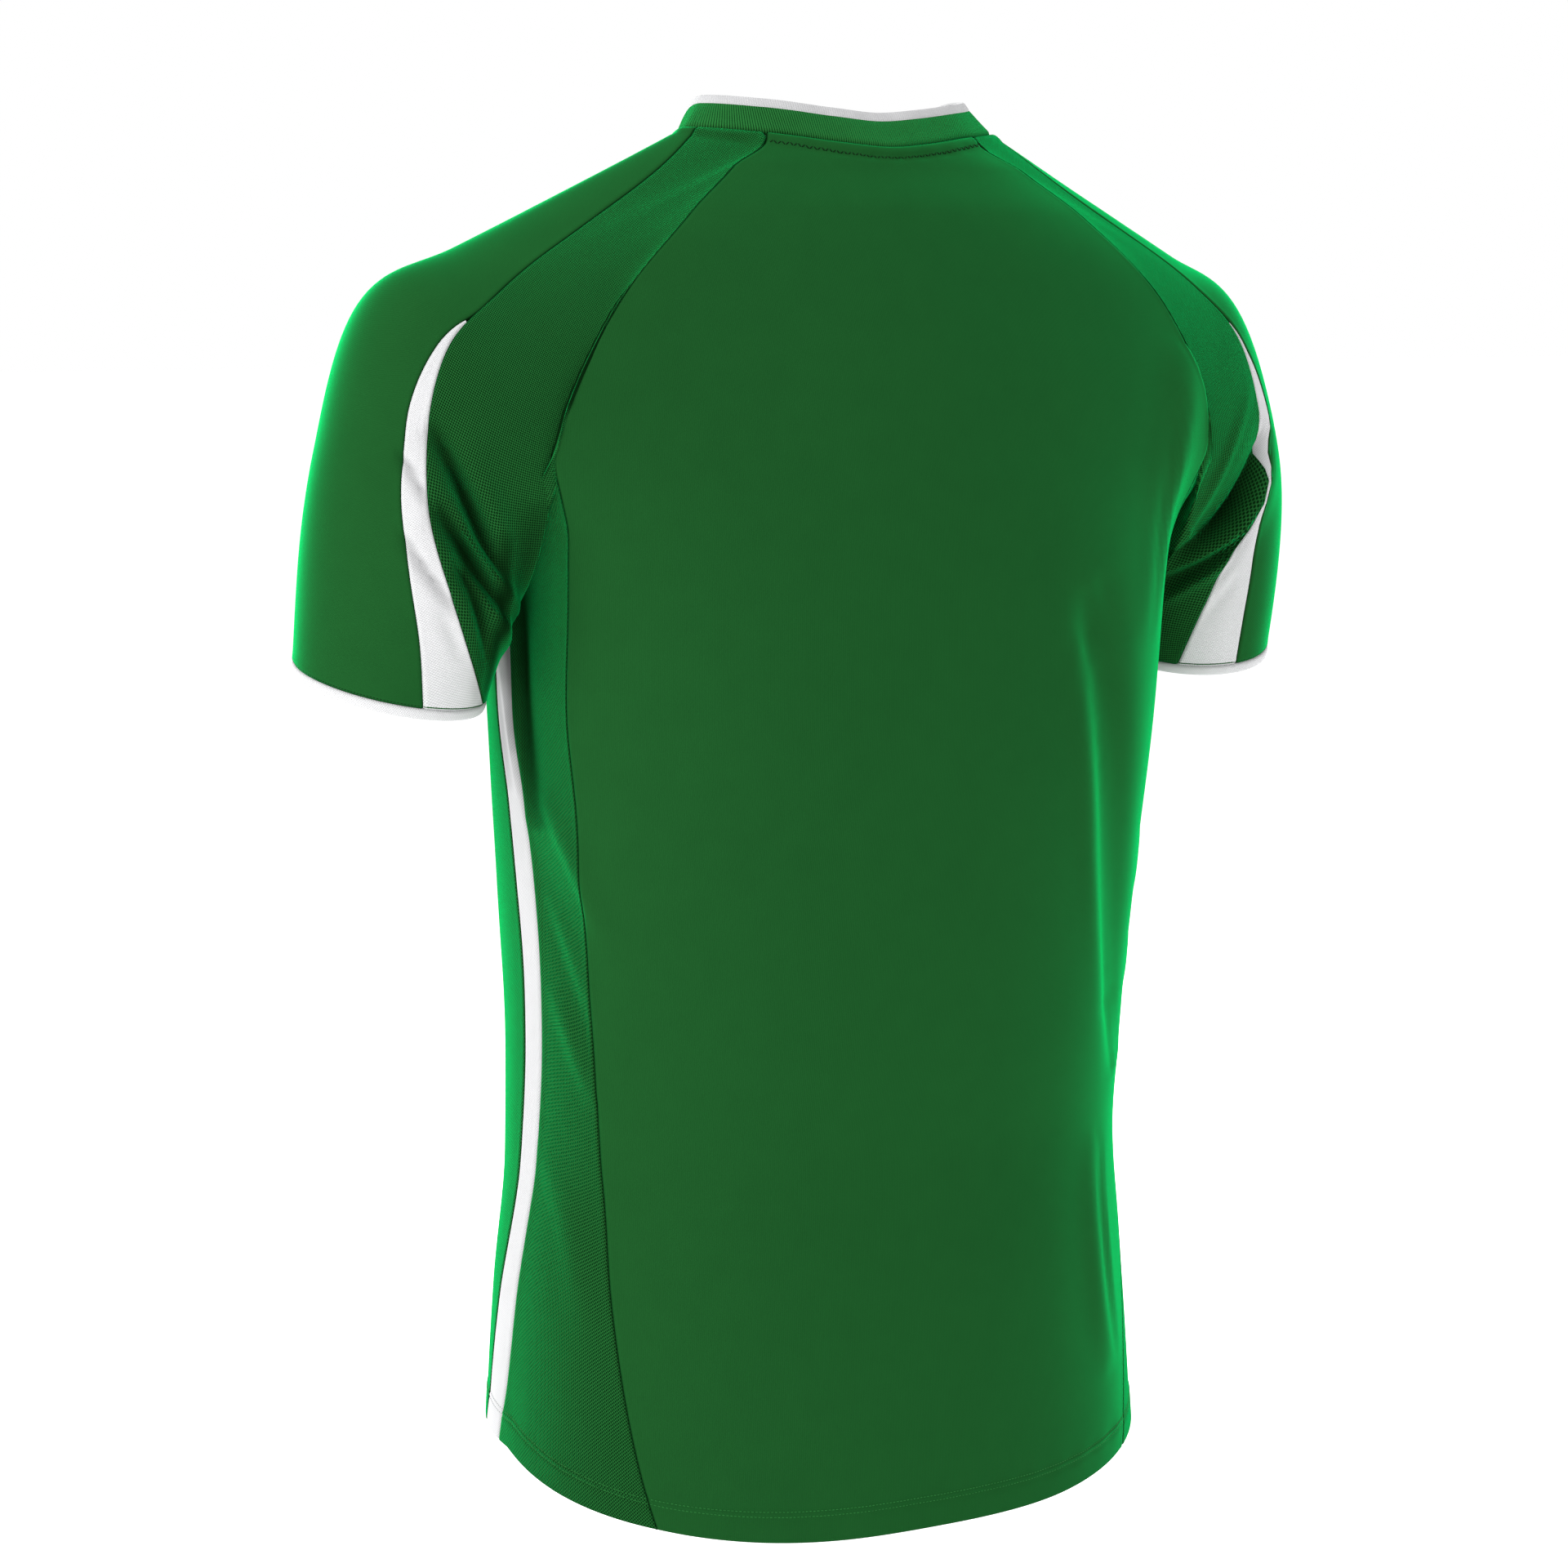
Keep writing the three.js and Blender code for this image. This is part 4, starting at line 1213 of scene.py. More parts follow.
class Graph:
    """The node graph of one material."""

    def __init__(self, name: str) -> None:
        """Starts a material with an empty graph.

        Args:
            name: The material's name.
        """
        self.material = bpy.data.materials.new(name)
        self.material.use_nodes = True
        self.tree = self.material.node_tree
        self.tree.nodes.clear()

    def node(self, kind: str, settings: dict, inputs: Sequence | dict, output: int | str = 0) -> Wire:
        """Adds a node.

        Args:
            kind: Type of the node.
            settings: Its properties, set before its sockets.
            inputs: Values or wires of its sockets, in order, or by name or place.
            output: The socket that is wanted.

        Returns:
            The wire from that socket.
        """
        made = self.tree.nodes.new(kind)
        for key, value in settings.items():
            setattr(made, key, value)
        items = inputs.items() if isinstance(inputs, dict) else enumerate(inputs)
        for key, value in items:
            if isinstance(value, Wire):
                self.tree.links.new(value.socket, made.inputs[key])
            else:
                made.inputs[key].default_value = value
        return Wire(self, made.outputs[output])

    def mix(self, factor: Wire, low: "Wire | tuple", high: "Wire | tuple") -> Wire:
        """Returns a colour between two others, from the places of the Mix node's colour sockets."""
        return self.node("ShaderNodeMix", {"data_type": "RGBA"}, {0: factor, 6: low, 7: high}, 2)

    def cloth(self) -> tuple[Wire, Wire]:
        """Returns the two directions of the cloth's own map, in metres.

        Returns:
            Across and along the piece.
        """
        uv = self.node("ShaderNodeUVMap", {"uv_map": "cloth"}, ())
        parts = self.node("ShaderNodeSeparateXYZ", {}, (uv,))
        return parts, Wire(self, parts.socket.node.outputs[1])

    def blotch(self, scale: float) -> Wire:
        """Returns soft noise over the object."""
        place = self.node("ShaderNodeTexCoord", {}, (), "Object")
        return self.node("ShaderNodeTexNoise", {}, {"Vector": place, "Scale": scale, "Detail": 2.0}, "Fac")

    def tone(self, broad: float, close: float) -> Wire:
        """Returns the mean of a broad and a close noise."""
        return self.blotch(broad) * 0.5 + self.blotch(close) * 0.5

    def bump(self, height: Wire, depth: float) -> Wire:
        """Returns the normal of a surface that a pattern lifts by up to the depth."""
        return self.node("ShaderNodeBump", {}, {"Strength": 1.0, "Distance": depth, "Height": height})

    def finish(self, sockets: dict, in_fold: "Colour | None" = None) -> bpy.types.Material:
        """Ends the graph in a Principled shader.

        Args:
            sockets: Values or wires of the shader's sockets.
            in_fold: Colour of the painted shade that the dark attribute mixes in, as a copy of the cloth without
                sheen, at the bottom of folds, under the arm and along seams.

        Returns:
            The material.
        """
        shader = self.node("ShaderNodeBsdfPrincipled", {}, sockets)
        if in_fold:
            # Painted shade: where the dark attribute is high, a dark copy of the cloth without sheen replaces the lit
            # cloth.
            shadow = self.node("ShaderNodeBsdfPrincipled", {}, {
                "Base Color": in_fold, "Roughness": 0.9, "Specular IOR Level": 0.0,
            })
            dark = self.node("ShaderNodeAttribute", {"attribute_name": "dark"}, (), "Fac")
            shader = self.node("ShaderNodeMixShader", {}, (dark, shader, shadow))
        out = self.tree.nodes.new("ShaderNodeOutputMaterial")
        self.tree.links.new(shader.socket, out.inputs["Surface"])
        return self.material


Colour = tuple[float, float, float, float]
# How dark the painted shade in folds, under the arm and along seams is, as a share of the cloth's colour.
FOLD_SHADE = 0.17
SHEEN_ROUGHNESS = 0.35
BLACK: Colour = (0, 0, 0, 1)
PURE_WHITE: Colour = (1, 1, 1, 1)
GREEN: Colour = (0.0108, 0.0765, 0.0165, 1)
SHEEN: Colour = (0.0, 0.95, 0.22, 1)
WHITE: Colour = (0.69, 0.69, 0.70, 1)


def shade(colour: Colour, amount: float) -> Colour:
    """Returns a colour made darker or lighter by a factor."""
    return (colour[0] * amount, colour[1] * amount, colour[2] * amount, 1)


class Finish:
    """A finish of a piece, whose material is made once."""

    made: dict["Finish", bpy.types.Material] = {}

    def material(self) -> bpy.types.Material:
        """Returns the finish's material.

        Returns:
            The one material that every piece of this finish shares.
        """
        if self not in Finish.made:
            Finish.made[self] = self.paint()
        return Finish.made[self]

    def paint(self) -> bpy.types.Material:
        """Makes the material."""
        raise NotImplementedError


@dataclass(frozen=True)
class SmoothKnit(Finish):
    """Fine jersey knit: close vertical wales with short stitches, and a slight sheen."""

    name: str = "smooth_knit"
    colour: Colour = GREEN
    wale: float = 0.0008
    course: float = 0.0007
    depth: float = 0.00006
    sheen_weight: float = 0.95

    def paint(self) -> bpy.types.Material:
        """Makes the material.

        Returns:
            The finished material.
        """
        graph = Graph(self.name)
        u, v = graph.cloth()
        wales = (u * (2 * math.pi / self.wale)).maths("SINE")
        courses = (v * (2 * math.pi / self.course)).maths("SINE")
        weave = wales * 0.35 + wales * courses * 0.15 + 0.5
        tone = graph.tone(9.0, 60.0)
        colour = graph.mix(weave * 0.5 + tone * 0.5, shade(self.colour, 0.78), shade(self.colour, 1.2))
        bump = graph.bump(weave, self.depth)
        return graph.finish({
            "Base Color": colour, "Roughness": tone * 0.14 + 0.5, "Normal": bump,
            "Specular IOR Level": 0.0, "Sheen Weight": self.sheen_weight,
            "Sheen Roughness": SHEEN_ROUGHNESS, "Sheen Tint": SHEEN,
        }, shade(self.colour, FOLD_SHADE))


@dataclass(frozen=True)
class DimpleKnit(Finish):
    """Mesh knit: staggered dimples, painted dark inside as shade, between raised stitches."""

    name: str = "eyelet_mesh"
    colour: Colour = GREEN
    # Painted shade inside the dimples.
    inside: Colour = shade(GREEN, 0.22)
    pitch: float = 0.0018
    stretch: float = 0.85
    dimple: float = 0.27
    depth: float = 0.00022
    sheen: Colour = SHEEN
    sheen_weight: float = 0.9
    lift: float = 1.5

    def paint(self) -> bpy.types.Material:
        """Makes the material.

        Returns:
            The finished material.
        """
        graph = Graph(self.name)
        u, v = graph.cloth()
        across, along = u * (1 / self.pitch), v * (self.stretch / self.pitch)

        def lattice(shift: float) -> Wire:
            """Returns the distance from the nearest dimple of one of the two lattices.

            Args:
                shift: How far this lattice is moved, as a share of its pitch.

            Returns:
                The distance, as a share of the pitch.
            """
            x = (across + shift).maths("FRACT") - 0.5
            y = ((along + shift).maths("FRACT") - 0.5) * 0.72
            return (x * x + y * y).maths("SQRT")

        hole = 1.0 - lattice(0.0).maths("MINIMUM", lattice(0.5)).fade(self.dimple * 0.55, self.dimple * 1.15)
        tone = graph.tone(9.0, 70.0)
        ground = graph.mix(tone, shade(self.colour, self.lift * 0.9), shade(self.colour, self.lift * 1.1))
        # Painted shade: the dimples take the darker inside colour.
        colour = graph.mix(hole, ground, self.inside)
        bump = graph.bump(1.0 - hole, self.depth)
        return graph.finish({
            "Base Color": colour, "Roughness": hole * 0.2 + 0.58, "Normal": bump,
            "Specular IOR Level": 0.0, "Sheen Weight": self.sheen_weight,
            "Sheen Roughness": SHEEN_ROUGHNESS, "Sheen Tint": self.sheen,
        }, shade(self.colour, FOLD_SHADE))


@dataclass(frozen=True)
class RibKnit(Finish):
    """Rib knit of the collar: round ribs up the band, painted lighter on their crowns, with narrow furrows between
    them that take painted shade on the green rib.
    """

    name: str = "rib_knit"
    colour: Colour = GREEN
    # Colour of the furrows: painted shade on the green rib.
    furrow: Colour = shade(GREEN, 0.12)
    pitch: float = 0.0014
    stitch: float = 0.0009
    depth: float = 0.0004
    sheen: Colour = SHEEN
    sheen_weight: float = 0.6

    def paint(self) -> bpy.types.Material:
        """Makes the material.

        Returns:
            The finished material.
        """
        graph = Graph(self.name)
        u, v = graph.cloth()
        rib = (u * (math.pi / self.pitch)).maths("SINE").maths("ABSOLUTE")
        stitches = (v * (2 * math.pi / self.stitch)).maths("SINE")
        height = rib ** 0.6 + stitches * 0.08
        tone = graph.blotch(70.0)
        # Painted light: the crowns of the ribs take a lightened copy of the cloth's colour.
        ridge = graph.mix(tone, shade(self.colour, 1.6), shade(self.colour, 2.1))
        colour = graph.mix(rib.fade(0.1, 0.65), self.furrow, ridge)
        bump = graph.bump(height, self.depth)
        return graph.finish({
            "Base Color": colour, "Roughness": 0.72, "Normal": bump,
            "Specular IOR Level": 0.0, "Sheen Weight": self.sheen_weight,
            "Sheen Roughness": SHEEN_ROUGHNESS, "Sheen Tint": self.sheen,
        })


@dataclass(frozen=True)
class Thread(Finish):
    """Sewing thread."""

    name: str
    colour: Colour

    def paint(self) -> bpy.types.Material:
        """Makes the material.

        Returns:
            The finished material.
        """
        graph = Graph(self.name)
        tone = graph.blotch(900.0)
        colour = graph.mix(tone, shade(self.colour, 0.7), shade(self.colour, 1.25))
        return graph.finish({"Base Color": colour, "Roughness": 0.6, "Specular IOR Level": 0.1})


def white_dimple(name: str, ground: float, inside: float) -> DimpleKnit:
    """Returns a white knit with finer, paler dimples than the mesh, and without its sheen.

    Args:
        name: Name of the finish.
        ground: How light the knit is, as a share of the white.
        inside: How light the painted shade in its dimples is.

    Returns:
        The finish.
    """
    return DimpleKnit(name, shade(WHITE, ground), shade(WHITE, inside), pitch=0.0013, stretch=0.8,
                      dimple=0.25, depth=0.00012, sheen=PURE_WHITE, sheen_weight=0.0, lift=1.02)


KNIT = SmoothKnit()
MESH = DimpleKnit()
RIB = RibKnit()
WHITE_DIMPLE = white_dimple("white_dimple_knit", 1.0, 0.78)
# The side stripes take a darker copy of the white knit, painted shade that holds down the strong side light falling on
# them.
SHADED_STRIPE_DIMPLE = white_dimple("stripe_dimple_knit", 0.86, 0.64)
WHITE_RIB = RibKnit("white_rib_knit", shade(WHITE, 0.4), shade(WHITE, 0.78), depth=0.00018, sheen=BLACK)
GREEN_THREAD = Thread("green_thread", shade(GREEN, 2.4))
EDGE_THREAD = Thread("edge_thread", shade(GREEN, 1.3))
DARK_THREAD = Thread("dark_green_thread", shade(GREEN, 0.1))
GREY_THREAD = Thread("grey_thread", (0.22, 0.23, 0.23, 1))


# Sub-assemblies.
SEAMS = (Edge.SEAM, Edge.SEAM, Edge.SEAM, Edge.SEAM)
BODY_EDGES = (Edge.HEM, Edge.SEAM, Edge.SEAM, Edge.SEAM)
WEDGE_EDGES = (Edge.SEAM, Edge.SEAM, Edge.FREE, Edge.SEAM)
CUFF_EDGES = (Edge.FREE, Edge.SEAM, Edge.FREE, Edge.FREE)
RIB_EDGES = (Edge.SEAM, Edge.FREE, Edge.FREE, Edge.FREE)
NO_SEAMS = (Edge.FREE, Edge.FREE, Edge.FREE, Edge.FREE)
MAIN_PANELS = ("back_panel_cloth", "front_panel_cloth")


@dataclass
class BodyPanels:
    """Back and front panels, and the mesh panels and the white stripe down each side."""

    torso: Torso
    neckline: Array
    back_width: float = 430.0
    height: float = 780.0
    side_height: float = 540.0
    mesh_width: float = 95.0
    stripe_width: float = 20.0

    def main_panel(self, front: bool) -> Array:
        """Returns the points of the back or front panel.

        Args:
            front: Whether it is the front one.

        Returns:
            The points, rows from the hem up.
        """
        torso = self.torso
        raglan = torso.front_raglan if front else torso.back_raglan
        seam = torso.side_seam("front" if front else "back", raglan(np.array(0.0)))
        edge_turn = float(seam(np.array(0.0))[0])
        neck_turn = torso.neck_front if front else torso.neck_back

        def left(v: Array) -> Array:
            """Returns the edge on the wearer's left, up the side and then up the armhole.

            Args:
                v: Shares of the way up it.

            Returns:
                Turns and heights.
            """
            low = np.minimum(v / SIDE_SHARE, 1)
            high = np.maximum((v - SIDE_SHARE) / (1 - SIDE_SHARE), 0)
            return np.where((v < SIDE_SHARE)[:, None], seam(low), raglan(high))

        def mirrored(v: Array) -> Array:
            """Returns the edge on the wearer's right."""
            run = left(v)
            return np.stack([(360 if front else 0) - run[:, 0], run[:, 1]], axis=-1)

        hem = (edge_turn, 360 - edge_turn) if front else (-edge_turn, edge_turn)
        neck = (neck_turn, 360 - neck_turn) if front else (-neck_turn, neck_turn)
        u, v = spacing(self.back_width, CLOTH_CELL), rows_above_hem(self.height)
        edges = (left, mirrored) if front else (mirrored, left)
        return torso.patch(lambda t: torso.hem(blend(*hem, t)), lambda t: torso.neckline(blend(*neck, t)),
                           *edges, u, v)

    def side_panel(self, left: Run, right: Run, top: Run, width: float) -> Array:
        """Returns the points of a panel between two seams down the left side.

        Args:
            left: The seam at its first column.
            right: The seam at its last column.
            top: Its stretch of the armhole.
            width: Its width, which spaces its columns.

        Returns:
            The points, rows from the hem up.
        """
        start, end = float(left(np.array(0.0))[0]), float(right(np.array(0.0))[0])
        u, v = spacing(width, CLOTH_CELL), rows_above_hem(self.side_height)
        return self.torso.patch(lambda t: self.torso.hem(blend(start, end, t)), top, left, right, u, v)

    def build(self) -> list[Cloth]:
        """Lays out the body's panels.

        Returns:
            The pieces of cloth.
        """
        torso = self.torso
        neck = {"neckline": self.neckline, "rests_on": ("collar_rib_cloth",)}
        pieces = [
            Cloth("back_panel", self.main_panel(False), KNIT, "green_knit", BODY_EDGES, **neck),
            Cloth("front_panel", self.main_panel(True), KNIT, "green_knit", BODY_EDGES, **neck),
        ]
        back = torso.side_seam("back", torso.back_raglan(np.array(0.0)))
        stripe_back = torso.side_seam("stripe_back", np.array([torso.low_back.turn, torso.low_back.z]))
        stripe_front = torso.side_seam("stripe_front", np.array([torso.low_front.turn, torso.low_front.z]))
        front = torso.side_seam("front", torso.front_raglan(np.array(0.0)))
        panels = (
            ("side_mesh_back", back, stripe_back, torso.back_scoop, self.mesh_width, MESH, "green_mesh"),
            ("side_stripe", stripe_back, stripe_front, torso.pit, self.stripe_width, SHADED_STRIPE_DIMPLE,
             "white_knit"),
            ("side_mesh_front", stripe_front, front, torso.front_scoop, self.mesh_width, MESH, "green_mesh"),
        )
        for side in Side:
            for name, left, right, top, width, finish, slot in panels:
                grid = side.place(self.side_panel(left, right, top, width))
                # How strong the painted shade along its seams is.
                dark = WHITE_SEAM_PAINTED_SHADE if slot == "white_knit" else GREEN_SEAM_PAINTED_SHADE
                pieces.append(Cloth(f"{name}_{side.label}", grid, finish, slot, BODY_EDGES, seam_dark=dark,
                                    rests_on=MAIN_PANELS, flip=side is Side.RIGHT))
        return pieces


@dataclass
class SleevePieces:
    """Mesh back, white wedge, smooth top and white cuff band of one sleeve."""

    form: SleeveForm
    side: Side
    neckline: Array
    length: float = 270.0
    mesh_width: float = 190.0
    wedge_width: float = 52.0
    top_width: float = 260.0
    cuff_columns: int = 120
    cuff_rows: int = 9

    def panel(self, start: Run, end: Run, width: float, first: float = 0.0) -> Array:
        """Returns the points of a panel between two of the sleeve's seams.

        Args:
            start: Turns of the first seam at shares of the way down the sleeve.
            end: Turns of the second seam.
            width: Width of the panel, in millimetres.
            first: Share of the way down at which the panel starts.

        Returns:
            The points, with a row for each step from one seam to the other.
        """
        along = blend(first, 1.0, spacing(self.length * (1 - first), FINE_CELL))
        share = spacing(width, FINE_CELL)[:, None]
        rounds = blend(start(along)[None], end(along)[None], share)
        return self.side.place(self.form.point(rounds, np.broadcast_to(along, rounds.shape)))

    def cuff(self) -> Array:
        """Returns the points of the band below the sleeve's hem, from its free edge up.

        Returns:
            The points, with a column for each step round the sleeve.
        """
        rounds = np.linspace(0, 360, self.cuff_columns + 1)[:-1]
        hem = self.form.point(rounds, np.ones_like(rounds))
        down = hem - self.form.point(rounds, np.full_like(rounds, CUFF_SLOPE_FROM))
        down /= np.linalg.norm(down, axis=-1, keepdims=True)
        share = np.linspace(1, 0, self.cuff_rows)[:, None, None]
        return self.side.place(hem + down * CUFF_BAND_HEIGHT * share)

    def build(self) -> list[Cloth]:
        """Lays out the sleeve.

        Returns:
            The pieces of cloth: mesh, wedge, top and cuff band.
        """
        mesh_seam = Profile.of(SLEEVE_SEAMS, "along", self.side.mesh_column)
        top_seam = Profile.of(SLEEVE_SEAMS, "along", self.side.top_column)
        label, flip = self.side.label, self.side is Side.RIGHT
        shared = {"flip": flip, "unwrapped": True, "rests_on": MAIN_PANELS}
        mesh = self.panel(lambda a: 0 * a, mesh_seam, self.mesh_width)
        wedge = self.panel(mesh_seam, top_seam, self.wedge_width, WEDGE_TIP)
        top = self.panel(top_seam, lambda a: 360 + 0 * a, self.top_width)
        return [
            Cloth(f"sleeve_mesh_{label}", mesh, MESH, "green_mesh", SEAMS, neckline=self.neckline,
                  tucked_below=TUCK_TOP, **shared),
            Cloth(f"sleeve_wedge_{label}", wedge, WHITE_DIMPLE, "white_knit", WEDGE_EDGES,
                  seam_dark=WHITE_SEAM_PAINTED_SHADE, **shared),
            Cloth(f"sleeve_top_{label}", top, KNIT, "green_knit", SEAMS, neckline=self.neckline, **shared),
            Cloth(f"cuff_band_{label}", self.cuff(), WHITE_DIMPLE, "white_knit", CUFF_EDGES, ring=True,
                  flip=flip, bulge=0.5, seam_dark=0.15, thickness=TRIM_THICKNESS,
                  rests_on=(f"sleeve_top_{label}_cloth", f"sleeve_mesh_{label}_cloth")),
        ]


@dataclass
class Collar:
    """Ribbed collar band and its white edge."""

    torso: Torso
    columns: int = 240
    rib_rows: int = 13
    edge_rows: int = 9

    def band(self, first: float, last: float, rows: int) -> Array:
        """Returns rows of points round the neck between two shares of the way up the collar.

        Args:
            first: Share at the first row.
            last: Share at the last row.
            rows: How many rows there are.

        Returns:
            The points.
        """
        turn = np.linspace(0, 360, self.columns + 1)[:-1]
        side = np.where(turn > 180, 360 - turn, turn)
        foot_places = self.torso.neckline(turn)
        foot = self.torso.point(foot_places[:, 0], foot_places[:, 1])
        reach = Profile.of(COLLAR_TOP, "turn", "reach")(side)
        height = Profile.of(COLLAR_TOP, "turn", "z")(side)
        x, y = reach * np.sin(np.radians(turn)), reach * np.cos(np.radians(turn))
        top = np.stack([x, COLLAR_TOP_MIDDLE + y, height], axis=-1)
        return blend(foot[None], top[None], np.linspace(first, last, rows)[:, None, None])

    def build(self) -> list[Cloth]:
        """Lays out the collar's two bands.

        Returns:
            The pieces of cloth.
        """
        return [
            Cloth("collar_rib", self.band(0, COLLAR_RIB_SHARE, self.rib_rows), RIB, "green_rib", RIB_EDGES,
                  ring=True, bulge=0.35, thickness=TRIM_THICKNESS, rests_on=MAIN_PANELS),
            Cloth("collar_edge", self.band(COLLAR_RIB_SHARE, 1, self.edge_rows), WHITE_RIB, "white_knit",
                  NO_SEAMS, ring=True, bulge=0.45, thickness=TRIM_THICKNESS, rests_on=("collar_rib_cloth",)),
        ]


@dataclass
class Stitching:
    """A run of stitches that lies on the cloth, each a small raised thread that dips in at its ends.

    A thread has four corners round it at each of two shares of its length, and a point at each end, which
    lies below the cloth by the sunk share of its height.
    """

    name: str
    finish: Finish
    slot: str
    pitch: float = 2.3
    length: float = 1.7
    width: float = 0.42
    height: float = 0.34
    zigzag: float = 0.0
    shares: tuple[float, float] = (0.2, 0.8)
    full: float = 0.8
    crown: float = 0.9
    sunk: float = 0.3
    lines: list[tuple[Array, Array]] = field(default_factory=list)

    def add(self, line: tuple[Array, Array]) -> None:
        """Adds a line of points and normals to sew along."""
        self.lines.append(line)

    def stitches(self, points: Array, normals: Array) -> tuple[Array, list[tuple[int, ...]]]:
        """Makes the threads along one line.

        Args:
            points: The line.
            normals: Normals of the cloth at its points.

        Returns:
            Corners of all threads, and the faces of one.
        """
        run = lengths_along(points, 0)
        count = int(run[-1] // self.pitch)
        middles = (np.arange(count) + 0.5) * self.pitch

        def at(values: Array, place: Array) -> Array:
            """Returns values of the line at lengths along it."""
            return np.stack([np.interp(place, run, values[:, axis]) for axis in range(3)], axis=-1)

        half = self.length / 2
        start, end = at(points, middles - half), at(points, middles + half)
        out = at(normals, middles)
        out /= np.linalg.norm(out, axis=-1, keepdims=True)
        way = end - start
        way /= np.linalg.norm(way, axis=-1, keepdims=True)
        side = np.cross(out, way)
        swing = self.zigzag * np.where(np.arange(count) % 2, 1, -1)[:, None] * side
        start, end = start - swing, end + swing
        side = side * self.width / 2
        rise = out * self.height
        corners = [start - rise * self.sunk]
        for share in self.shares:
            middle = blend(start, end, share)
            corners += [middle - side * self.full, middle + rise * self.full * self.crown,
                        middle + side * self.full, middle - rise * self.sunk]
        corners.append(end - rise * self.sunk)
        threads = np.stack(corners, axis=1)
        faces = [(0, 1 + (i + 1) % 4, 1 + i) for i in range(4)]
        faces += [(1 + i, 1 + (i + 1) % 4, 5 + (i + 1) % 4, 5 + i) for i in range(4)]
        faces += [(9, 5 + i, 5 + (i + 1) % 4) for i in range(4)]
        return threads, faces

    def build(self) -> bpy.types.Object:
        """Makes one object of all the stitches of the run.

        Returns:
            The finished object.
        """
        corners, faces = [], []
        for points, normals in self.lines:
            threads, shape = self.stitches(points, normals)
            for thread in threads:
                base = len(corners)
                corners.extend(thread / METRE)
                faces.extend(tuple(base + corner for corner in face) for face in shape)
        mesh = bpy.data.meshes.new(self.name)
        mesh.from_pydata([tuple(corner) for corner in corners], [], faces)
        piece = bpy.data.objects.new(self.name, mesh)
        bpy.context.scene.collection.objects.link(piece)
        mesh.materials.append(self.finish.material())
        select_only(piece)
        bpy.ops.object.mode_set(mode="EDIT")
        bpy.ops.mesh.select_all(action="SELECT")
        bpy.ops.mesh.normals_make_consistent(inside=False)
        bpy.ops.object.mode_set(mode="OBJECT")
        bpy.ops.object.shade_smooth()
        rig.slot(piece, self.slot)
        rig.ride(piece, "root")
        return piece


class Lamp(NamedTuple):
    """A soft square light: its way from the aim to the picture's right, to the camera and up, in metres."""

    name: str
    right: float
    nearer: float
    up: float
    size: float
    energy: float


LAMPS = (
    Lamp("rim_left", -1.6, -1.9, 0.3, 1.3, 84),
    Lamp("rim_right", 1.5, -1.9, 0.3, 1.3, 34),
    Lamp("top", 0, 0, 2.2, 2.0, 22),
    Lamp("key", -1.7, 1.5, 1.3, 1.3, 36),
)


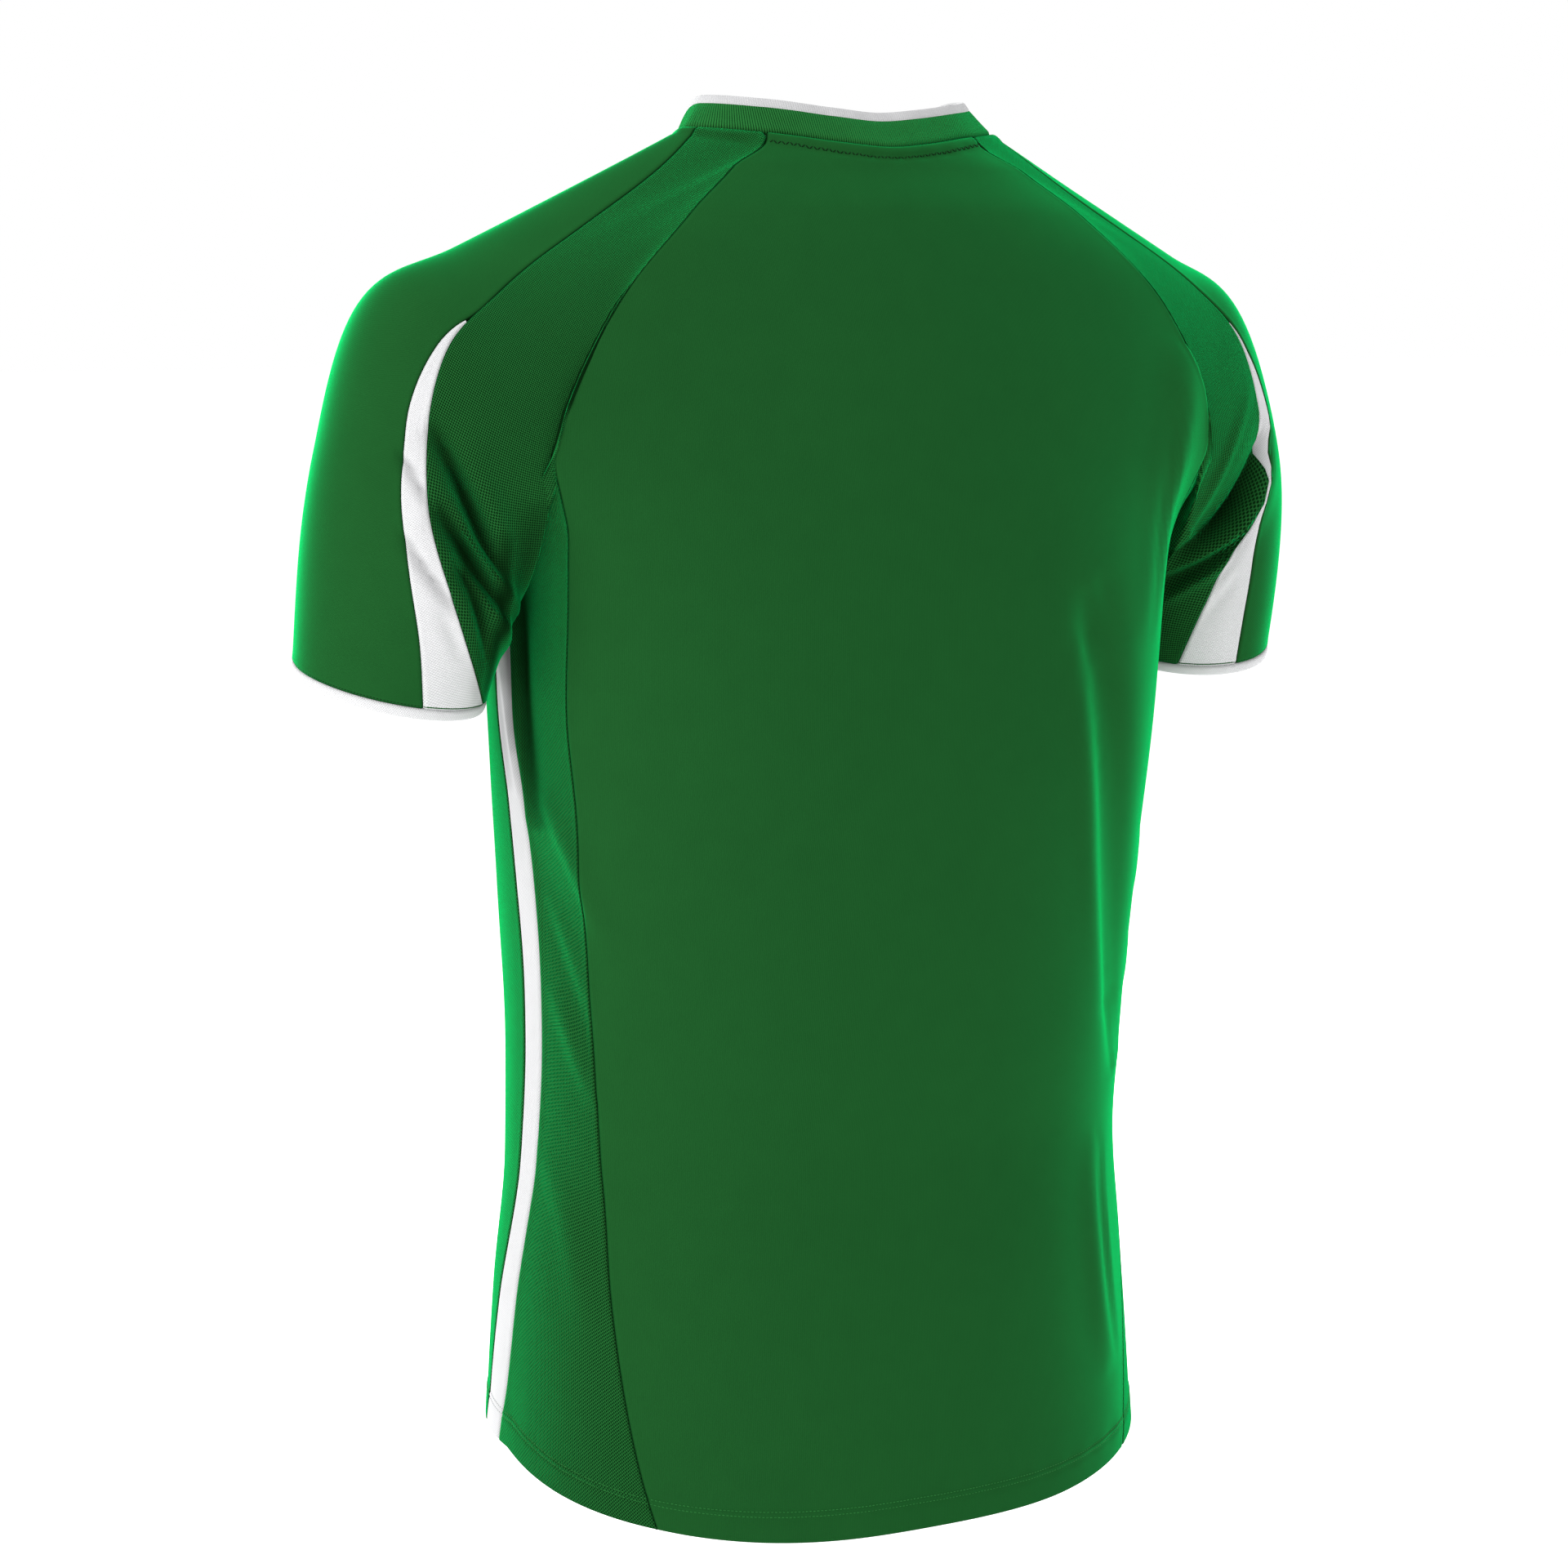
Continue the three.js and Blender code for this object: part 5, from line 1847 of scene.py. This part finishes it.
@dataclass
class Studio:
    """Pale floor, soft lights and the camera."""

    azimuth: float = 147.0
    elevation: float = 6.46
    distance: float = 2.5
    lens: float = 98.4
    aim: tuple[float, float, float] = (0.0273, -0.0177, -0.379)
    sensor: float = 36.0
    floor_z: float = -0.86
    floor_size: float = 80.0
    floor_glow: float = 0.6
    world: float = 0.58

    def directions(self) -> tuple[Vector, Vector]:
        """Returns the ways from the object to the camera and to the picture's right.

        Returns:
            The two directions, of length 1.
        """
        turn, rise = math.radians(self.azimuth), math.radians(self.elevation)
        back = Vector((math.sin(turn) * math.cos(rise), -math.cos(turn) * math.cos(rise), math.sin(rise)))
        return back, Vector((math.cos(turn), math.sin(turn), 0))

    def camera(self) -> None:
        """Sets the camera at the picture's viewpoint."""
        back, _ = self.directions()
        data = bpy.data.cameras.new("camera")
        data.lens = self.lens
        data.sensor_width = self.sensor
        camera = bpy.data.objects.new("camera", data)
        camera.location = Vector(self.aim) + back * self.distance
        camera.rotation_mode = "QUATERNION"
        camera.rotation_quaternion = (-back).to_track_quat("-Z", "Y")
        bpy.context.scene.collection.objects.link(camera)
        bpy.context.scene.camera = camera

    def light(self, lamp: Lamp) -> None:
        """Adds one light, which faces the aim.

        Args:
            lamp: The light's row.
        """
        back, right = self.directions()
        level = Vector((back.x, back.y, 0)).normalized()
        place = Vector(self.aim) + right * lamp.right + level * lamp.nearer + Vector((0, 0, lamp.up))
        data = bpy.data.lights.new(lamp.name, "AREA")
        data.size, data.energy = lamp.size, lamp.energy
        light = bpy.data.objects.new(lamp.name, data)
        light.location = place
        light.rotation_mode = "QUATERNION"
        light.rotation_quaternion = (Vector(self.aim) - place).to_track_quat("-Z", "Y")
        bpy.context.scene.collection.objects.link(light)

    def surroundings(self) -> None:
        """Makes the world, which is full white to the camera and dimmer as light."""
        world = bpy.data.worlds.new("studio")
        world.use_nodes = True
        world.node_tree.nodes["Background"].inputs[0].default_value = PURE_WHITE
        tree = world.node_tree
        rays = tree.nodes.new("ShaderNodeLightPath")
        bright = tree.nodes.new("ShaderNodeMapRange")
        bright.inputs["To Min"].default_value = self.world
        tree.links.new(rays.outputs["Is Camera Ray"], bright.inputs["Value"])
        tree.links.new(bright.outputs["Result"], tree.nodes["Background"].inputs[1])
        bpy.context.scene.world = world
        bpy.context.scene.view_settings.view_transform = "Standard"

    def floor(self) -> None:
        """Makes the floor, which glows so that it meets the white behind without a line."""
        for other in bpy.context.selected_objects:
            other.select_set(False)
        bpy.ops.mesh.primitive_plane_add(size=self.floor_size, location=(0, 0, self.floor_z))
        floor = bpy.context.active_object
        floor.name = "floor"
        graph = Graph("pale_floor")
        colour = graph.mix(graph.blotch(0.7), (0.9, 0.9, 0.9, 1), (0.93, 0.93, 0.93, 1))
        floor.data.materials.append(graph.finish({
            "Base Color": colour, "Roughness": 0.9, "Specular IOR Level": 0.0,
            "Emission Color": PURE_WHITE, "Emission Strength": self.floor_glow,
        }))
        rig.stage(floor)

    def build(self) -> None:
        """Makes the camera, the lights, the world and the floor."""
        self.camera()
        for lamp in LAMPS:
            self.light(lamp)
        self.surroundings()
        self.floor()


def sew(pieces: dict[str, Cloth]) -> list[Stitching]:
    """Plans the stitching on the cloth.

    Args:
        pieces: The pieces of cloth by the names of their nodes.

    Returns:
        The runs of stitches.
    """
    hem = Stitching("hem_stitching", GREEN_THREAD, "green_knit", width=0.6)
    stripe_hem = Stitching("stripe_hem_stitching", GREY_THREAD, "white_knit", width=0.6)
    for name, piece in pieces.items():
        if piece.edges[0] is Edge.HEM:
            for gap in (HEM_STITCH, HEM_STITCH - HEM_STITCH_GAP):
                (stripe_hem if "stripe" in name else hem).add(piece.line(gap))
    neck = Stitching("neck_stitching", DARK_THREAD, "green_knit", pitch=2.3, length=2.1, width=1.0,
                     height=0.6, zigzag=1.1)
    neck.add(pieces["back_panel"].line(NECK_STITCH, LAST_ROW))
    neck.add(pieces["front_panel"].line(NECK_STITCH, LAST_ROW))
    runs = [hem, stripe_hem, neck]
    for side in Side:
        cuff = Stitching(f"cuff_stitching_{side.label}", DARK_THREAD, "green_knit", pitch=1.9, length=1.5)
        for part in ("mesh", "top"):
            cuff.add(pieces[f"sleeve_{part}_{side.label}"].line(CUFF_STITCH, LAST_COLUMN))
        edge = Stitching(f"wedge_stitching_{side.label}", EDGE_THREAD, "green_knit", pitch=1.6, length=2.0,
                         width=1.2, height=0.6)
        edge.add(pieces[f"sleeve_wedge_{side.label}"].line(WEDGE_STITCH, LAST_COLUMN))
        runs += [cuff, edge]
    return runs


def main() -> None:
    """Builds the jersey and the studio, and writes the sizes of the two models."""
    logging.basicConfig(level=logging.INFO, format="%(name)s: %(message)s")
    torso = Torso()
    form = SleeveForm(torso)
    neck_places = torso.neckline(np.linspace(0, 360, 721)[:-1])
    neckline = torso.point(neck_places[:, 0], neck_places[:, 1])
    cloths = [*Collar(torso).build(), *BodyPanels(torso, neckline).build()]
    for side in Side:
        cloths += SleevePieces(form, side, neckline).build()
    for cloth in cloths:
        piece = cloth.build()
        LOG.info("%s: %d faces", piece.name, len(piece.data.polygons))
    for run in sew({cloth.node: cloth for cloth in cloths}):
        piece = run.build()
        LOG.info("%s: %d faces", piece.name, len(piece.data.polygons))
    Studio().build()
    LOG.info("studio: floor, four lights and camera")
    sizes = {"cad": [list(corner) for corner in CAD_BOX], "visual": [list(corner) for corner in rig.bounds()]}
    with open("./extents.json", "w", encoding="utf-8") as out:
        json.dump(sizes, out)


if __name__ == "__main__":
    main()
